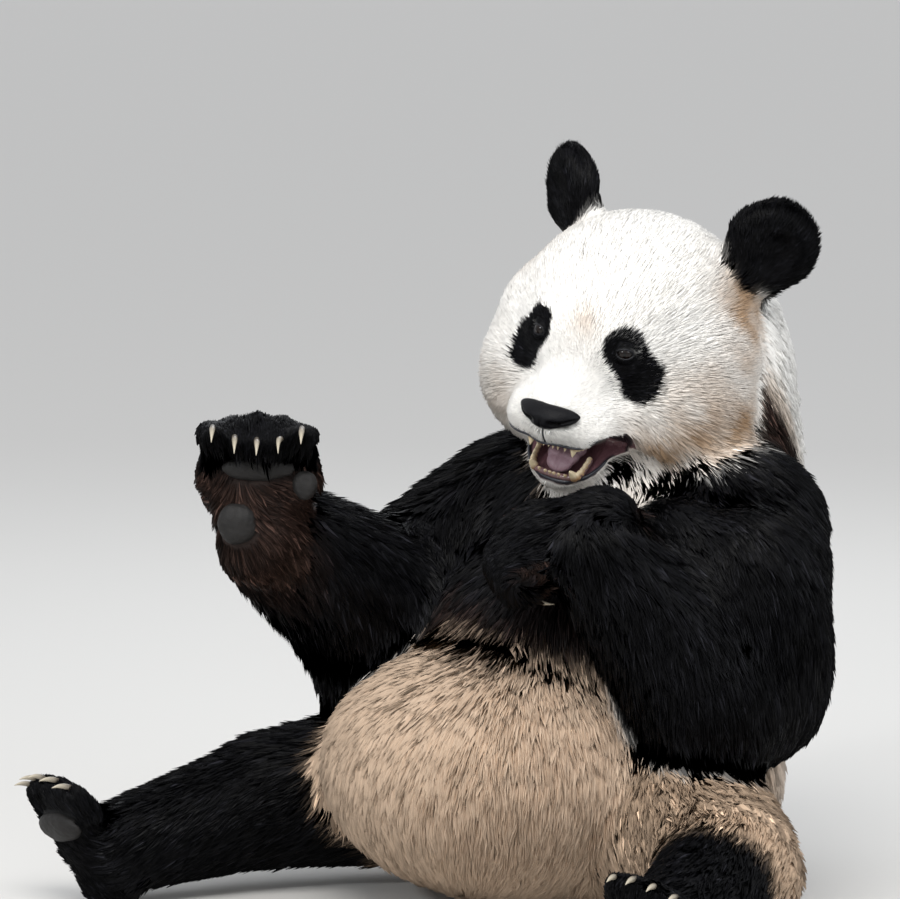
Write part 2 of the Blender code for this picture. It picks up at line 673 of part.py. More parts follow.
def build():
    for obj in list(bpy.data.objects):
        bpy.data.objects.remove(obj)
    coat = coat_materials()

    head, jaw, head_form = build_head()
    nose = build_nose(head_form)
    yield_to(nose, head_form)
    eyes = [build_eye(head, side) for side in SIDES]
    ears = [build_ear(side) for side in SIDES]
    for ear in ears:
        yield_to(ear, head_form)
    tongue = build_tongue()
    jaw_turn = jaw_frame() @ Matrix.Translation((0, 0, 0.0045))
    lower_teeth = build_teeth("lower_teeth", jaw_turn, 1, 0.082, 0.034, 0.016)
    roof_at = head_point(MOUTH_CORNER[0], 0, MOUTH_CORNER[1] - 0.0085)
    roof = Matrix.Translation(roof_at) @ HEAD.to_3x3().to_4x4()
    upper_teeth = build_teeth("upper_teeth", roof, -1, 0.078, 0.036, 0.011)

    (rump, belly, chest, neck), trunk_form = build_trunk()
    yield_to(neck, head_form)
    yield_to(chest, head_form)
    tail = build_tail()
    yield_to(tail, trunk_form)
    for ear in ears:
        yield_to(ear, trunk_form)

    thighs, shanks, feet, toes, pads, leg_forms = [], [], [], [], [], []
    for side in SIDES:
        leg, cut = build_leg(side)
        leg_forms.append(helper_copy(leg, 0.0))
        yield_to(leg, trunk_form)
        thigh, shank = parted(leg, [f"thigh_{side}", f"shank_{side}"], [cut])
        foot, claws, soles = build_foot(side)
        yield_to(foot, leg_forms[-1])
        thighs.append(thigh)
        shanks.append(shank)
        feet.append(foot)
        for piece in claws + soles:
            yield_to(piece, foot, leg_forms[-1])
        toes += claws
        pads += soles

    upper_arms, forearms, paws = [], [], []
    for side, leg_form in zip(SIDES, leg_forms):
        arm, cut = build_arm(side)
        arm_form = helper_copy(arm, 0.0)
        yield_to(arm, trunk_form, leg_form, head_form)
        upper_arm, forearm = parted(arm, [f"upper_arm_{side}", f"forearm_{side}"], [cut])
        paw, claws, palms = build_fore_paw(side)
        yield_to(paw, arm_form, trunk_form, head_form)
        upper_arms.append(upper_arm)
        forearms.append(forearm)
        paws.append(paw)
        for piece in claws + palms:
            yield_to(piece, paw, arm_form, trunk_form)
        toes += claws
        pads += palms
        bpy.data.objects.remove(arm_form)

    for form in [head_form, trunk_form] + leg_forms:
        bpy.data.objects.remove(form)

    finish([head, jaw, neck, tail], coat, "white_coat")
    finish([belly, rump, thighs[0]], coat, "tan_coat")
    finish([chest, thighs[1]] + ears + upper_arms + forearms + paws + shanks + feet, coat, "black_coat")
    finish([nose], coat, "nose_skin")
    finish(pads, coat, "pad_skin")
    finish(eyes, coat, "eye_gloss")
    finish(toes, coat, "claw_horn")
    finish([lower_teeth, upper_teeth], coat, "tooth_ivory")
    finish([tongue], coat, "tongue_flesh")


build()
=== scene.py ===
"""The looks of a giant panda, life size, that sits on its rump and feeds: a still museum model.

Metres, +Z up. The panda faces -Y and its own left is +X. The hide, the coat and every bare piece are
worked over the solids of the frame, in the order in which such a model is put together.
"""

import math

import bmesh
import bpy
import numpy as np
from mathutils import Matrix, Vector
from mathutils.bvhtree import BVHTree
from mathutils.kdtree import KDTree

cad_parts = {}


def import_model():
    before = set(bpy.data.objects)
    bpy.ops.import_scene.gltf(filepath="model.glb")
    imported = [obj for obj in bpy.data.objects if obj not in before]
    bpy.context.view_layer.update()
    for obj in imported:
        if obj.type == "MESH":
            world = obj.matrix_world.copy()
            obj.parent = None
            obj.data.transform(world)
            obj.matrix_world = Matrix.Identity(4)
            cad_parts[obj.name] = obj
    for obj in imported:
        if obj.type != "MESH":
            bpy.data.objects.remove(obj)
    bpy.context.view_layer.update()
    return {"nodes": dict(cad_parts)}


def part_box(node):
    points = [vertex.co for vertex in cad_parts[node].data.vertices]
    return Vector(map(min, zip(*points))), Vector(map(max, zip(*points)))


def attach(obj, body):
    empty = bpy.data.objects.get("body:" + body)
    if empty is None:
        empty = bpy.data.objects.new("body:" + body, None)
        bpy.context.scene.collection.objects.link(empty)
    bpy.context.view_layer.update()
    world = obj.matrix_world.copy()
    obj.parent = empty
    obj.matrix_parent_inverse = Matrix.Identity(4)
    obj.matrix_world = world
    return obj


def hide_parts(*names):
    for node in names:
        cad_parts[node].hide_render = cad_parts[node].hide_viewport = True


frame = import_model()

# ---- The carriage of the head and limbs
# The head is turned to the panda's left, nose a little down, and tilted. The mouth is open, and both
# arms are raised to it. These are the places that the rest is measured from.

HEAD_CENTRE = Vector((0.019, 0.107, 0.649))
HEAD_YAW, HEAD_PITCH, HEAD_ROLL = 15.5, 12.0, 12.0  # degrees
SIDES = {"left": 1.0, "right": -1.0}
SHOULDER = {"left": Vector((0.165, 0.130, 0.440)), "right": Vector((-0.165, 0.100, 0.430))}
ELBOW = {"left": Vector((0.270, -0.015, 0.266)), "right": Vector((-0.192, -0.096, 0.328))}
WRIST = {"left": Vector((0.190, -0.121, 0.436)), "right": Vector((-0.185, -0.286, 0.440))}
PALM = {"left": Vector((0.138, -0.139, 0.458)), "right": Vector((-0.160, -0.330, 0.492))}
FINGERS = {"left": (-0.66, -0.70, -0.26), "right": (0.0, 0.0, 1.0)}
PALM_WAY = {"left": (-0.25, 0.25, -0.93), "right": (0.743, -0.669, 0.0)}
HIP = {"left": Vector((0.140, 0.020, 0.135)), "right": Vector((-0.140, 0.010, 0.135))}
KNEE = {"left": Vector((0.375, -0.090, 0.098)), "right": Vector((-0.265, -0.225, 0.105))}
ANKLE = {"left": Vector((0.460, -0.270, 0.062)), "right": Vector((-0.315, -0.420, 0.066))}
TOES = {"left": (0.45, -0.45, 0.75), "right": (-0.20, -0.45, 0.87)}
SOLE_WAY = {"left": (0.30, -0.90, -0.30), "right": (-0.10, -0.90, -0.40)}
EAR_PLACE = (-0.055, 0.134, 0.145)  # ahead of, beside and above the middle of the skull
MOUTH_CORNER = (0.116, -0.058)  # ahead of and above the middle of the skull
LOWER_LIP = (0.190, -0.114)

HEAD = (
    Matrix.Translation(HEAD_CENTRE)
    @ Matrix.Rotation(math.radians(HEAD_YAW), 4, "Z")
    @ Matrix.Rotation(math.radians(HEAD_PITCH), 4, "X")
    @ Matrix.Rotation(math.radians(HEAD_ROLL), 4, "Y")
)


def head_point(ahead, left, up):
    """A point given ahead of, left of and above the middle of the skull."""
    return HEAD @ Vector((left, -ahead, up))


def head_way(ahead, left, up):
    """A unit direction given in the same terms."""
    return (HEAD.to_3x3() @ Vector((left, -ahead, up))).normalized()


def hand_frame(origin, fingers, palm):
    """+Y runs along the fingers or toes, +Z out of the palm or sole, and +X across."""
    y = Vector(fingers).normalized()
    z = Vector(palm)
    z = (z - y * z.dot(y)).normalized()
    return Matrix.Translation(origin) @ Matrix((y.cross(z), y, z)).transposed().to_4x4()


def jaw_frame():
    """The lower jaw's frame at the mouth's corner: -Y runs along its upper edge to the lip."""
    drop = math.atan2(MOUTH_CORNER[1] - LOWER_LIP[1], LOWER_LIP[0] - MOUTH_CORNER[0])
    start = Matrix.Translation(head_point(MOUTH_CORNER[0], 0, MOUTH_CORNER[1]))
    return start @ HEAD.to_3x3().to_4x4() @ Matrix.Rotation(drop, 4, "X")


JAW = jaw_frame()
HAND = {side: hand_frame(PALM[side], FINGERS[side], PALM_WAY[side]) for side in SIDES}
FOOT_AHEAD, FOOT_UP = 0.030, 0.020  # from the ankle to the middle of the sole


def foot_frame(side):
    sole = Vector(SOLE_WAY[side]).normalized()
    toes = Vector(TOES[side]).normalized()
    return hand_frame(ANKLE[side] + sole * FOOT_AHEAD + toes * FOOT_UP, toes, sole)


FOOT = {side: foot_frame(side) for side in SIDES}

# ---- The hide
# One tanned hide, without a seam, that is drawn over the whole form. It lies inside the outline by
# the depth of the coat that stands on it, and is drawn tight round the muzzle, lids, ears and paws.

HIDE_GRAIN = 0.0058  # side of one face of the hide's mesh
SWELL = 0.0013  # how far each length of flesh is swollen, to close the joins
EYE_SIZE = 0.0118  # the eyeball's radius
LID_OPEN = (0.0101, 0.0061)  # half the width and height between the lids
LID_THICK = 0.0016
LID_FOLDS = ((0.0010, 0.0105, 0.0020), (-0.0008, 0.0135, 0.0016))  # height, place above the eye, reach
LID_EDGE_DEPTH = 0.0065  # how far the hide turns in between the lids
EYE_WAY = (0.86, 0.46, 0.10)  # the way an eye looks: ahead, outward and up
PLUG_BACK, PLUG_SIZE = 0.007, 0.0215  # the mass that fills each socket, behind the eye's middle
FACE_REACH = 0.030  # how far round each eye the hide is drawn over the ball

FLESH = ["head", "lower_jaw", "neck", "chest", "belly", "rump", "tail"]
for limb in ("ear", "upper_arm", "forearm", "fore_paw", "thigh", "shank", "hind_foot"):
    FLESH += [f"{limb}_{side}" for side in SIDES]

# For each length of flesh: the depth of the coat over the hide, the length of its hair and the width
# of a tuft in millimetres, how thickly the tufts stand, how far they draw together in locks, hang
# free and stand off the hide, and the shares of black, tan and rust in their colour.
COAT = {
    "head": (8.5, 19.0, 0.70, 13.0, 0.28, 0.00, 0.06, 0.0, 0.00, 0.0),
    "lower_jaw": (4.0, 33.0, 0.65, 20.0, 0.50, 0.45, 0.25, 0.0, 0.05, 0.0),
    "ear": (8.0, 21.0, 0.60, 20.0, 0.25, 0.00, 0.80, 1.0, 0.00, 0.0),
    "neck": (16.0, 38.0, 0.85, 7.5, 0.45, 0.05, 0.10, 0.0, 0.00, 0.0),
    "chest": (18.0, 52.0, 0.90, 5.2, 0.55, 0.15, 0.10, 1.0, 0.00, 0.0),
    "belly": (16.0, 46.0, 0.90, 5.2, 0.60, 0.10, 0.12, 0.0, 0.80, 0.0),
    "rump": (17.0, 46.0, 0.90, 4.8, 0.55, 0.05, 0.10, 0.0, 0.35, 0.0),
    "tail": (12.0, 42.0, 0.90, 5.5, 0.50, 0.05, 0.15, 0.0, 0.15, 0.0),
    "upper_arm": (16.0, 56.0, 0.80, 6.8, 0.60, 0.12, 0.12, 1.0, 0.00, 0.0),
    "forearm": (15.0, 56.0, 0.75, 7.8, 0.65, 0.22, 0.15, 1.0, 0.00, 0.0),
    "fore_paw": (8.0, 36.0, 0.60, 14.0, 0.60, 0.25, 0.35, 1.0, 0.00, 0.0),
    "thigh": (17.0, 46.0, 0.90, 4.8, 0.60, 0.05, 0.10, 0.0, 0.90, 0.0),
    "shank": (13.0, 42.0, 0.80, 5.6, 0.60, 0.10, 0.12, 1.0, 0.90, 0.0),
    "hind_foot": (6.0, 24.0, 0.65, 12.0, 0.50, 0.05, 0.30, 1.0, 0.00, 0.0),
}
DEPTH, LENGTH, WIDTH, DENSITY, LOCK, HANG, STAND, BLACK, TAN, RUST = range(10)

# The coats of the finer regions, in the first seven of those values.
CHEEK_COAT = (13.0, 33.0, 0.62, 16.0, 0.32, 0.05, 0.22)
CROWN_COAT = (10.0, 22.0, 0.70, 12.5, 0.30, 0.00, 0.08)
MUZZLE_COAT = (2.4, 8.0, 0.60, 30.0, 0.12, 0.00, 0.10)
EYE_COAT = (2.2, 6.5, 0.58, 32.0, 0.20, 0.00, 0.10)
PALM_COAT = (7.0, 46.0, 0.55, 18.0, 0.75, 0.30, 0.40)
KNUCKLE_COAT = (8.0, 46.0, 0.60, 18.0, 0.60, 0.60, 0.30)
FRINGE = {"left": 56.0, "right": 68.0}  # millimetres: the hair that hangs under each forearm
FRINGE_HANG = 0.55
PAD_DEPTH, MOUTH_DEPTH = 5.0, 0.6  # millimetres: how far the hide lies inside the outline there
PADS = {  # each bare pad: the frame of its hand or foot, and its middle and radii in that
    "palm_pad_left": (HAND["left"], (0.000, 0.000, 0.028), (0.042, 0.015, 0.011)),
    "palm_pad_right": (HAND["right"], (0.000, 0.034, 0.028), (0.042, 0.015, 0.011)),
    "thumb_pad_left": (HAND["left"], (-0.054, 0.014, 0.029), (0.014, 0.017, 0.010)),
    "thumb_pad_right": (HAND["right"], (0.054, 0.014, 0.029), (0.014, 0.017, 0.010)),
    "wrist_pad_left": (HAND["left"], (0.024, -0.012, 0.066), (0.023, 0.024, 0.013)),
    "wrist_pad_right": (HAND["right"], (-0.024, -0.030, 0.036), (0.023, 0.024, 0.013)),
    "sole_pad_left": (FOOT["left"], (0.000, 0.040, 0.024), (0.044, 0.020, 0.012)),
    "sole_pad_right": (FOOT["right"], (0.000, 0.040, 0.024), (0.044, 0.020, 0.012)),
}
LIP_CENTRE = 0.030  # ahead of the mouth's corner: the middle that the lips are measured round
LIP_AFAR = 0.16  # from so far out the edge of a lip is looked for
MOUTH_ENDS = (math.radians(120), math.radians(102))  # between these the bare flesh ends at a corner
LIFTED_LIP = ((0.166, 0.060, -0.056), (0.022, 0.032, 0.019))  # where the lip is drawn up on the left
PATCH_TOP = (0.0515, 0.0535)  # beside and above the middle of the skull: the patch's round upper end
PATCH_FOOT = (0.0705, 0.0170)  # and its lower end
PATCH_HALF = ((0.0190, 0.0195), (0.0200, 0.0245))  # half its breadth and height at those ends
PATCH_SQUARE = 2.3  # how full its outline is, where 2 is an ellipse
EAR_ROOT = (-0.035, 0.122, 0.125)  # the middle of the black round the front of an ear's root
EAR_ROOT_REACH = 0.041
NAPE = (0.011, 0.172)  # the middle line of the neck
COLLAR = {  # the height of the black collar's upper edge, by the degrees from the front of the neck
    0: 0.490, 34: 0.500, 44: 0.525, 52: 0.600, 70: 0.650,
    84: 0.648, 104: 0.592, 125: 0.535, 150: 0.495, 180: 0.480,
}
THROAT = ((0.112, 0.034, 0.520), 0.050)  # the pale hair under the left corner of the jaw, and its reach
THROAT_TAN = 0.3
TRUNK = (0.000, 0.100)  # the middle line of the trunk
VEST = {  # the height of the black vest's lower edge, by the degrees from the front of the trunk
    0: 0.338, 35: 0.333, 75: 0.306, 120: 0.302, 180: 0.340,
}
LEG_BLACK = {  # where black begins on each length of leg, from its upper joint at 0 to its lower at 1
    "thigh": {"left": 0.98, "right": 0.35},
    "shank": {"left": 0.05, "right": -1.0},
}
THIGH_BROWN_AND_SHADOW = {"left": 0.38, "right": 0.0}  # the least share of black on the thigh: on the near thigh partly its brown and partly painted shadow
FACE_STAINS = (  # ahead of, left of and above the skull's middle, with the reach and strength of each
    ((-0.005, 0.138, 0.080), 0.050, 1.40),
    ((-0.005, -0.138, 0.080), 0.050, 1.10),
    ((0.028, 0.155, 0.035), 0.050, 0.70),
    ((0.100, 0.140, -0.005), 0.050, 0.75),
    ((0.105, 0.140, -0.023), 0.052, 1.15),
    ((0.069, 0.160, -0.039), 0.052, 1.45),
    ((0.127, 0.107, -0.050), 0.036, 1.30),
    ((0.085, 0.140, -0.075), 0.055, 0.80),
    ((0.085, -0.140, -0.075), 0.060, 0.75),
    ((0.142, 0.100, -0.045), 0.036, 0.70),
    ((0.142, -0.100, -0.045), 0.036, 0.55),
    ((0.152, 0.004, 0.072), 0.018, 0.70),
    ((0.100, 0.000, -0.125), 0.045, 0.35),
)


def local(points, matrix):
    """World points, as an array, in the terms of a frame."""
    inverse = np.array(matrix.inverted())
    return points @ inverse[:3, :3].T + inverse[:3, 3]


def in_head(points):
    """Each point's distance ahead of, left of and above the middle of the skull."""
    p = local(points, HEAD)
    return -p[:, 1], p[:, 0], p[:, 2]


def world(points, matrix):
    """Points in the terms of a frame, as world points."""
    matrix = np.array(matrix)
    return points @ matrix[:3, :3].T + matrix[:3, 3]


def step(low, high, x):
    """A smooth rise from 0 at low to 1 at high, or a fall where low is the larger."""
    t = np.clip((x - low) / (high - low), 0.0, 1.0)
    return t * t * (3.0 - 2.0 * t)


def hump(x, at, reach):
    """A soft rise to 1 at a place, which is nearly gone at twice that reach."""
    return np.exp(-(((x - at) / reach) ** 2))


def unit(vectors):
    """The vectors, each made one unit long."""
    return vectors / np.maximum(np.linalg.norm(vectors, axis=1, keepdims=True), 1e-9)


def ripple(points, size, seed=0.0):
    """A soft, even unevenness from -1 to 1, of about that size, which varies in all directions."""
    rng = np.random.default_rng(int(seed * 10) + 3)
    total = np.zeros(len(points))
    for _ in range(7):
        way = rng.normal(size=3)
        way *= rng.uniform(0.7, 1.6) * 2.2 / (size * np.linalg.norm(way))
        total += np.sin(points @ way + rng.uniform(0, 6.28))
    return total / 3.5


def region_values(name):
    """The coat of one length of flesh."""
    for part, values in COAT.items():
        if name == part or name.startswith(part + "_"):
            return values
    raise KeyError(name)


def merged_copy(name):
    """A bmesh of one solid of the frame, with its loose faces joined."""
    bm = bmesh.new()
    bm.from_mesh(frame["nodes"][name].data)
    bmesh.ops.remove_doubles(bm, verts=bm.verts, dist=1e-5)
    return bm


def solid_points(name):
    """The corners of one solid of the frame, each once."""
    bm = merged_copy(name)
    points = np.array([vert.co for vert in bm.verts])
    bm.free()
    return points


def solid_tree(name):
    """One solid of the frame, made ready to be measured with rays."""
    bm = merged_copy(name)
    tree = BVHTree.FromBMesh(bm)
    bm.free()
    return tree


def in_scene(name, data):
    """An object of a mesh, curve, lamp or camera, set in the scene."""
    made = bpy.data.objects.new(name, data)
    bpy.context.scene.collection.objects.link(made)
    return made


def piece(name, bm, smooth=True):
    """An object in the row's frame, made of a bmesh."""
    mesh = bpy.data.meshes.new(name)
    bm.to_mesh(mesh)
    bm.free()
    if smooth:
        mesh.shade_smooth()
    return in_scene(name, mesh)


def worked_out(obj):
    """The mesh that the object's curve or modifiers make."""
    graph = bpy.context.evaluated_depsgraph_get()
    return bpy.data.meshes.new_from_object(obj.evaluated_get(graph))


def settle(obj):
    """Gives the object the mesh that its modifiers make, and clears them."""
    mesh = worked_out(obj)
    obj.modifiers.clear()
    old, obj.data = obj.data, mesh
    bpy.data.meshes.remove(old)


def fuse(obj, grain, smoothing):
    """Makes one smooth closed body of overlapping masses."""
    remesh = obj.modifiers.new("fuse", "REMESH")
    remesh.mode = "VOXEL"
    remesh.voxel_size = grain
    smooth = obj.modifiers.new("smooth", "SMOOTH")
    smooth.factor = 0.5
    smooth.iterations = smoothing
    settle(obj)
    obj.data.shade_smooth()
    return obj


def eye_frame(side):
    """The frame of an eyeball: +Z out of the socket, +X to the panda's left and +Y up."""
    low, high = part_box("eye_" + side)
    ahead, outward, up = EYE_WAY
    z = head_way(ahead, outward * SIDES[side], up)
    x = head_way(0, 1, 0)
    x = (x - z * x.dot(z)).normalized()
    return Matrix.Translation((low + high) / 2) @ Matrix((x, z.cross(x), z)).transposed().to_4x4()


EYE = {side: eye_frame(side) for side in SIDES}


def flesh():
    """All the flesh in one bmesh, each length swollen a little, with the sockets plugged."""
    bm = bmesh.new()
    for name in FLESH:
        part = merged_copy(name)
        part.normal_update()
        moves = [vert.normal * SWELL for vert in part.verts]
        for vert, move in zip(part.verts, moves):
            vert.co += move
        mesh = bpy.data.meshes.new("flesh")
        part.to_mesh(mesh)
        part.free()
        bm.from_mesh(mesh)
        bpy.data.meshes.remove(mesh)
    for side in SIDES:
        plug = EYE[side] @ Matrix.Translation((0, 0, -PLUG_BACK))
        bmesh.ops.create_icosphere(bm, subdivisions=3, radius=PLUG_SIZE, matrix=plug)
    return bm


def read_all(items, field, width=1, kind=float):
    """One field of all the items, as an array with a row for each."""
    values = np.empty(len(items) * width, kind)
    items.foreach_get(field, values)
    return values.reshape(-1, width) if width > 1 else values


def vertex_array(mesh):
    return read_all(mesh.vertices, "co", 3)


def normal_array(mesh):
    return read_all(mesh.vertex_normals, "vector", 3)


def edge_array(mesh):
    return read_all(mesh.edges, "vertices", 2, np.int32)


def move_vertices(mesh, points):
    mesh.vertices.foreach_set("co", points.ravel())
    mesh.update()


def spread(values, edges, times):
    """Each vertex's values, drawn towards those of its neighbours."""
    count = len(values)
    one, other = edges.T
    degree = np.bincount(one, minlength=count) + np.bincount(other, minlength=count)
    for _ in range(times):
        total = np.empty_like(values)
        for k, column in enumerate(values.T):
            to_one = np.bincount(one, column[other], count)
            total[:, k] = to_one + np.bincount(other, column[one], count)
        values = 0.5 * values + 0.5 * total / np.maximum(degree, 1)[:, None]
    return values


def flattened(ways, normals):
    """The part of each direction that runs along the surface."""
    return ways - normals * (ways * normals).sum(1, keepdims=True)


def nearest_flesh(points):
    """The number, in FLESH, of the solid that each point lies nearest to."""
    corners, faces, owner = [], [], []
    for i, name in enumerate(FLESH):
        mesh = frame["nodes"][name].data
        shift = len(corners)
        corners += [vert.co.copy() for vert in mesh.vertices]
        for face in mesh.polygons:
            faces.append([shift + k for k in face.vertices])
            owner.append(i)
    tree = BVHTree.FromPolygons(corners, faces)
    return np.array(owner)[[tree.find_nearest(Vector(p))[2] for p in points]]


def lip_reach(node, matrix, height):
    """How far a lip's outer edge stands from LIP_CENTRE, in a plane of the frame, for LIP_TURNS."""
    tree = solid_tree(node)
    reach = []
    for angle in LIP_TURNS:
        way = Vector((math.sin(angle), -math.cos(angle), 0.0))
        start = matrix @ (Vector((0, -LIP_CENTRE, height)) + way * LIP_AFAR)
        hit = tree.ray_cast(start, matrix.to_3x3() @ -way, LIP_AFAR - 0.01)[0]
        reach.append(LIP_AFAR - (hit - start).length if hit else 0.0)
    return np.array(reach)


ROOF = Matrix.Translation(head_point(MOUTH_CORNER[0], 0, MOUTH_CORNER[1])) @ HEAD.to_3x3().to_4x4()
LIP_TURNS = np.radians(np.linspace(-112, 112, 57))
LOWER_REACH = lip_reach("lower_jaw", JAW, height=-0.004)
UPPER_REACH = lip_reach("head", ROOF, height=0.003)
UPPER_REACH = np.maximum(UPPER_REACH, UPPER_REACH[::-1])  # the drawn-up side is as full as the other


def mouth_share(points, normals):
    """How far each point lies inside the open mouth, and how far on the dark edge of its lips: their own
    dark skin, and under the upper lip painted shade.
    """
    inside, rim = np.zeros(len(points)), np.zeros(len(points))
    # For each lip: its frame and outline, where its flesh ends below and above, and the way it faces.
    for matrix, reach, low, high, way in (
        (JAW, LOWER_REACH, -0.035, 0.008, 1.0),
        (ROOF, UPPER_REACH, -0.008, 0.012, -1.0),
    ):
        p = local(points, matrix)
        turned_to = normals @ np.array(matrix)[:3, :3]
        p[:, 1] += LIP_CENTRE
        off_centre = np.hypot(p[:, 0], p[:, 1])
        inward = -(turned_to[:, 0] * p[:, 0] + turned_to[:, 1] * p[:, 1]) / np.maximum(off_centre, 1e-6)
        angle = np.arctan2(p[:, 0], -p[:, 1])
        room = np.interp(angle, LIP_TURNS, reach) - off_centre
        faces_in = step(0.05, 0.40, np.maximum(way * turned_to[:, 2], inward))
        ends = step(*MOUTH_ENDS, np.abs(angle))
        found = step(0.0005, 0.0030, room) * faces_in * ends * (p[:, 2] > low) * (p[:, 2] < high)
        inside = np.maximum(inside, found)
        # The dark edge of the lips: their own dark skin, and under the upper lip painted shade.
        rim = np.maximum(rim, found * step(0.0085, 0.0040, room))
    place, radii = LIFTED_LIP
    ahead, left, up = in_head(points)
    off = np.stack([left - place[1], ahead - place[0], up - place[2]], 1) / radii
    lifted = step(1.24, 1.10, np.linalg.norm(off, axis=1)) * (off[:, 2] < 1.0)
    return np.maximum(inside, lifted), np.maximum(rim, lifted)


def nose_span():
    """The nose's lowest and highest places ahead of, beside and above the skull's middle."""
    ahead, left, up = in_head(solid_points("nose"))
    return (ahead.min(), ahead.max()), (left.min(), left.max()), (up.min(), up.max())


NOSE_SPAN = nose_span()


def nose_round(ahead, left, up):
    """Less than 1 behind the nose pad."""
    (_, front), (right_end, left_end), (low, high) = NOSE_SPAN
    r = np.hypot(left / (left_end - right_end), (up - (low + high) / 2) / (high - low)) * 2
    return np.where(ahead > front - 0.040, r, 9.0)


def pad_share(points, name):
    """1 where that pad lies on the hand or foot."""
    matrix, middle, radii = PADS[name]
    p = local(points, matrix)
    r = np.sqrt(((p[:, 0] - middle[0]) / radii[0]) ** 2 + ((p[:, 1] - middle[1]) / radii[1]) ** 2)
    return step(1.06, 0.90, r) * step(0.030, 0.020, np.abs(p[:, 2] - middle[2]))


def blend(old, new, share):
    """The old value where the share is 0, and the new one where it is 1."""
    return old + (new - old) * share


def comb(plan, share, coat):
    """Blends one region's coat, as in COAT but without its colours, into the plan."""
    for column, value in enumerate(coat):
        plan[:, column] = blend(plan[:, column], value, share)


def comb_arm(plan, points, normals, name_is, side):
    """The long hair of the knuckles, palm and wrist, and the fringe that hangs under the forearm."""
    hand = local(points, HAND[side])
    on_hand = name_is["fore_paw_" + side].astype(float)
    comb(plan, on_hand * step(0.045, 0.062, hand[:, 1]), KNUCKLE_COAT)
    palm = on_hand * step(0.004, 0.016, hand[:, 2]) * step(0.056, 0.040, hand[:, 1])
    comb(plan, palm, PALM_COAT)
    plan[:, RUST] = np.maximum(plan[:, RUST], palm)
    arm = name_is["forearm_" + side]
    wrist = arm * step(0.105, 0.030, np.linalg.norm(hand + [0.02, 0.06, -0.02], axis=1))
    comb(plan, wrist, PALM_COAT)
    palm_side = step(-0.3, 0.5, normals @ np.array(HAND[side])[:3, 2])
    plan[:, RUST] = np.maximum(plan[:, RUST], 0.9 * wrist * palm_side)
    under = arm * step(0.25, -0.45, normals[:, 2]) * (1.0 - wrist)
    plan[:, LENGTH] = blend(plan[:, LENGTH], FRINGE[side], under)
    plan[:, HANG] = blend(plan[:, HANG], FRINGE_HANG, under)


def coat_plan(points, normals, label):
    """For each point of the outline, the ten values of COAT, worked over for the finer regions."""
    plan = np.array([region_values(name) for name in FLESH])[label]
    name_is = {name: label == i for i, name in enumerate(FLESH)}
    ahead, left, up = in_head(points)
    beside = np.abs(left)
    face = (name_is["head"] | name_is["lower_jaw"]).astype(float)

    cheek = face * step(0.055, 0.110, beside) * step(0.030, -0.040, up)
    crown = face * step(0.080, 0.140, up)
    muzzle = face * step(0.130, 0.172, ahead) * step(0.088, 0.062, beside)
    for share, coat in ((cheek, CHEEK_COAT), (crown, CROWN_COAT), (muzzle, MUZZLE_COAT)):
        comb(plan, share, coat)

    for side in SIDES:
        from_eye = np.linalg.norm(local(points, EYE[side]), axis=1)
        comb(plan, face * step(0.036, 0.020, from_eye), EYE_COAT)
        comb_arm(plan, points, normals, name_is, side)

    for name in PADS:
        plan[:, DEPTH] = blend(plan[:, DEPTH], PAD_DEPTH, pad_share(points, name))

    inside = mouth_share(points, normals)[0] * face
    plan[:, DEPTH] = blend(plan[:, DEPTH], MOUTH_DEPTH, inside)
    return plan


def paw_lie(points, side):
    """Hair that curls forward over the digits, and on the palm spreads from the wrist pad."""
    hand = local(points, HAND[side])
    about = np.zeros_like(hand)
    about[:, 1], about[:, 2] = hand[:, 1] - 0.058, hand[:, 2] - 0.010
    curl = np.cross(np.array((1.0, 0.0, 0.0)), unit(about))
    pad = hand - np.array(PADS["wrist_pad_" + side][1])
    from_pad = unit(pad) * [1.0, 1.0, 0.3] + [0.0, -0.9, 0.0]
    palm = (step(0.004, 0.016, hand[:, 2]) * step(0.050, 0.030, hand[:, 1]))[:, None]
    return blend(curl, from_pad, palm) @ np.array(HAND[side])[:3, :3].T


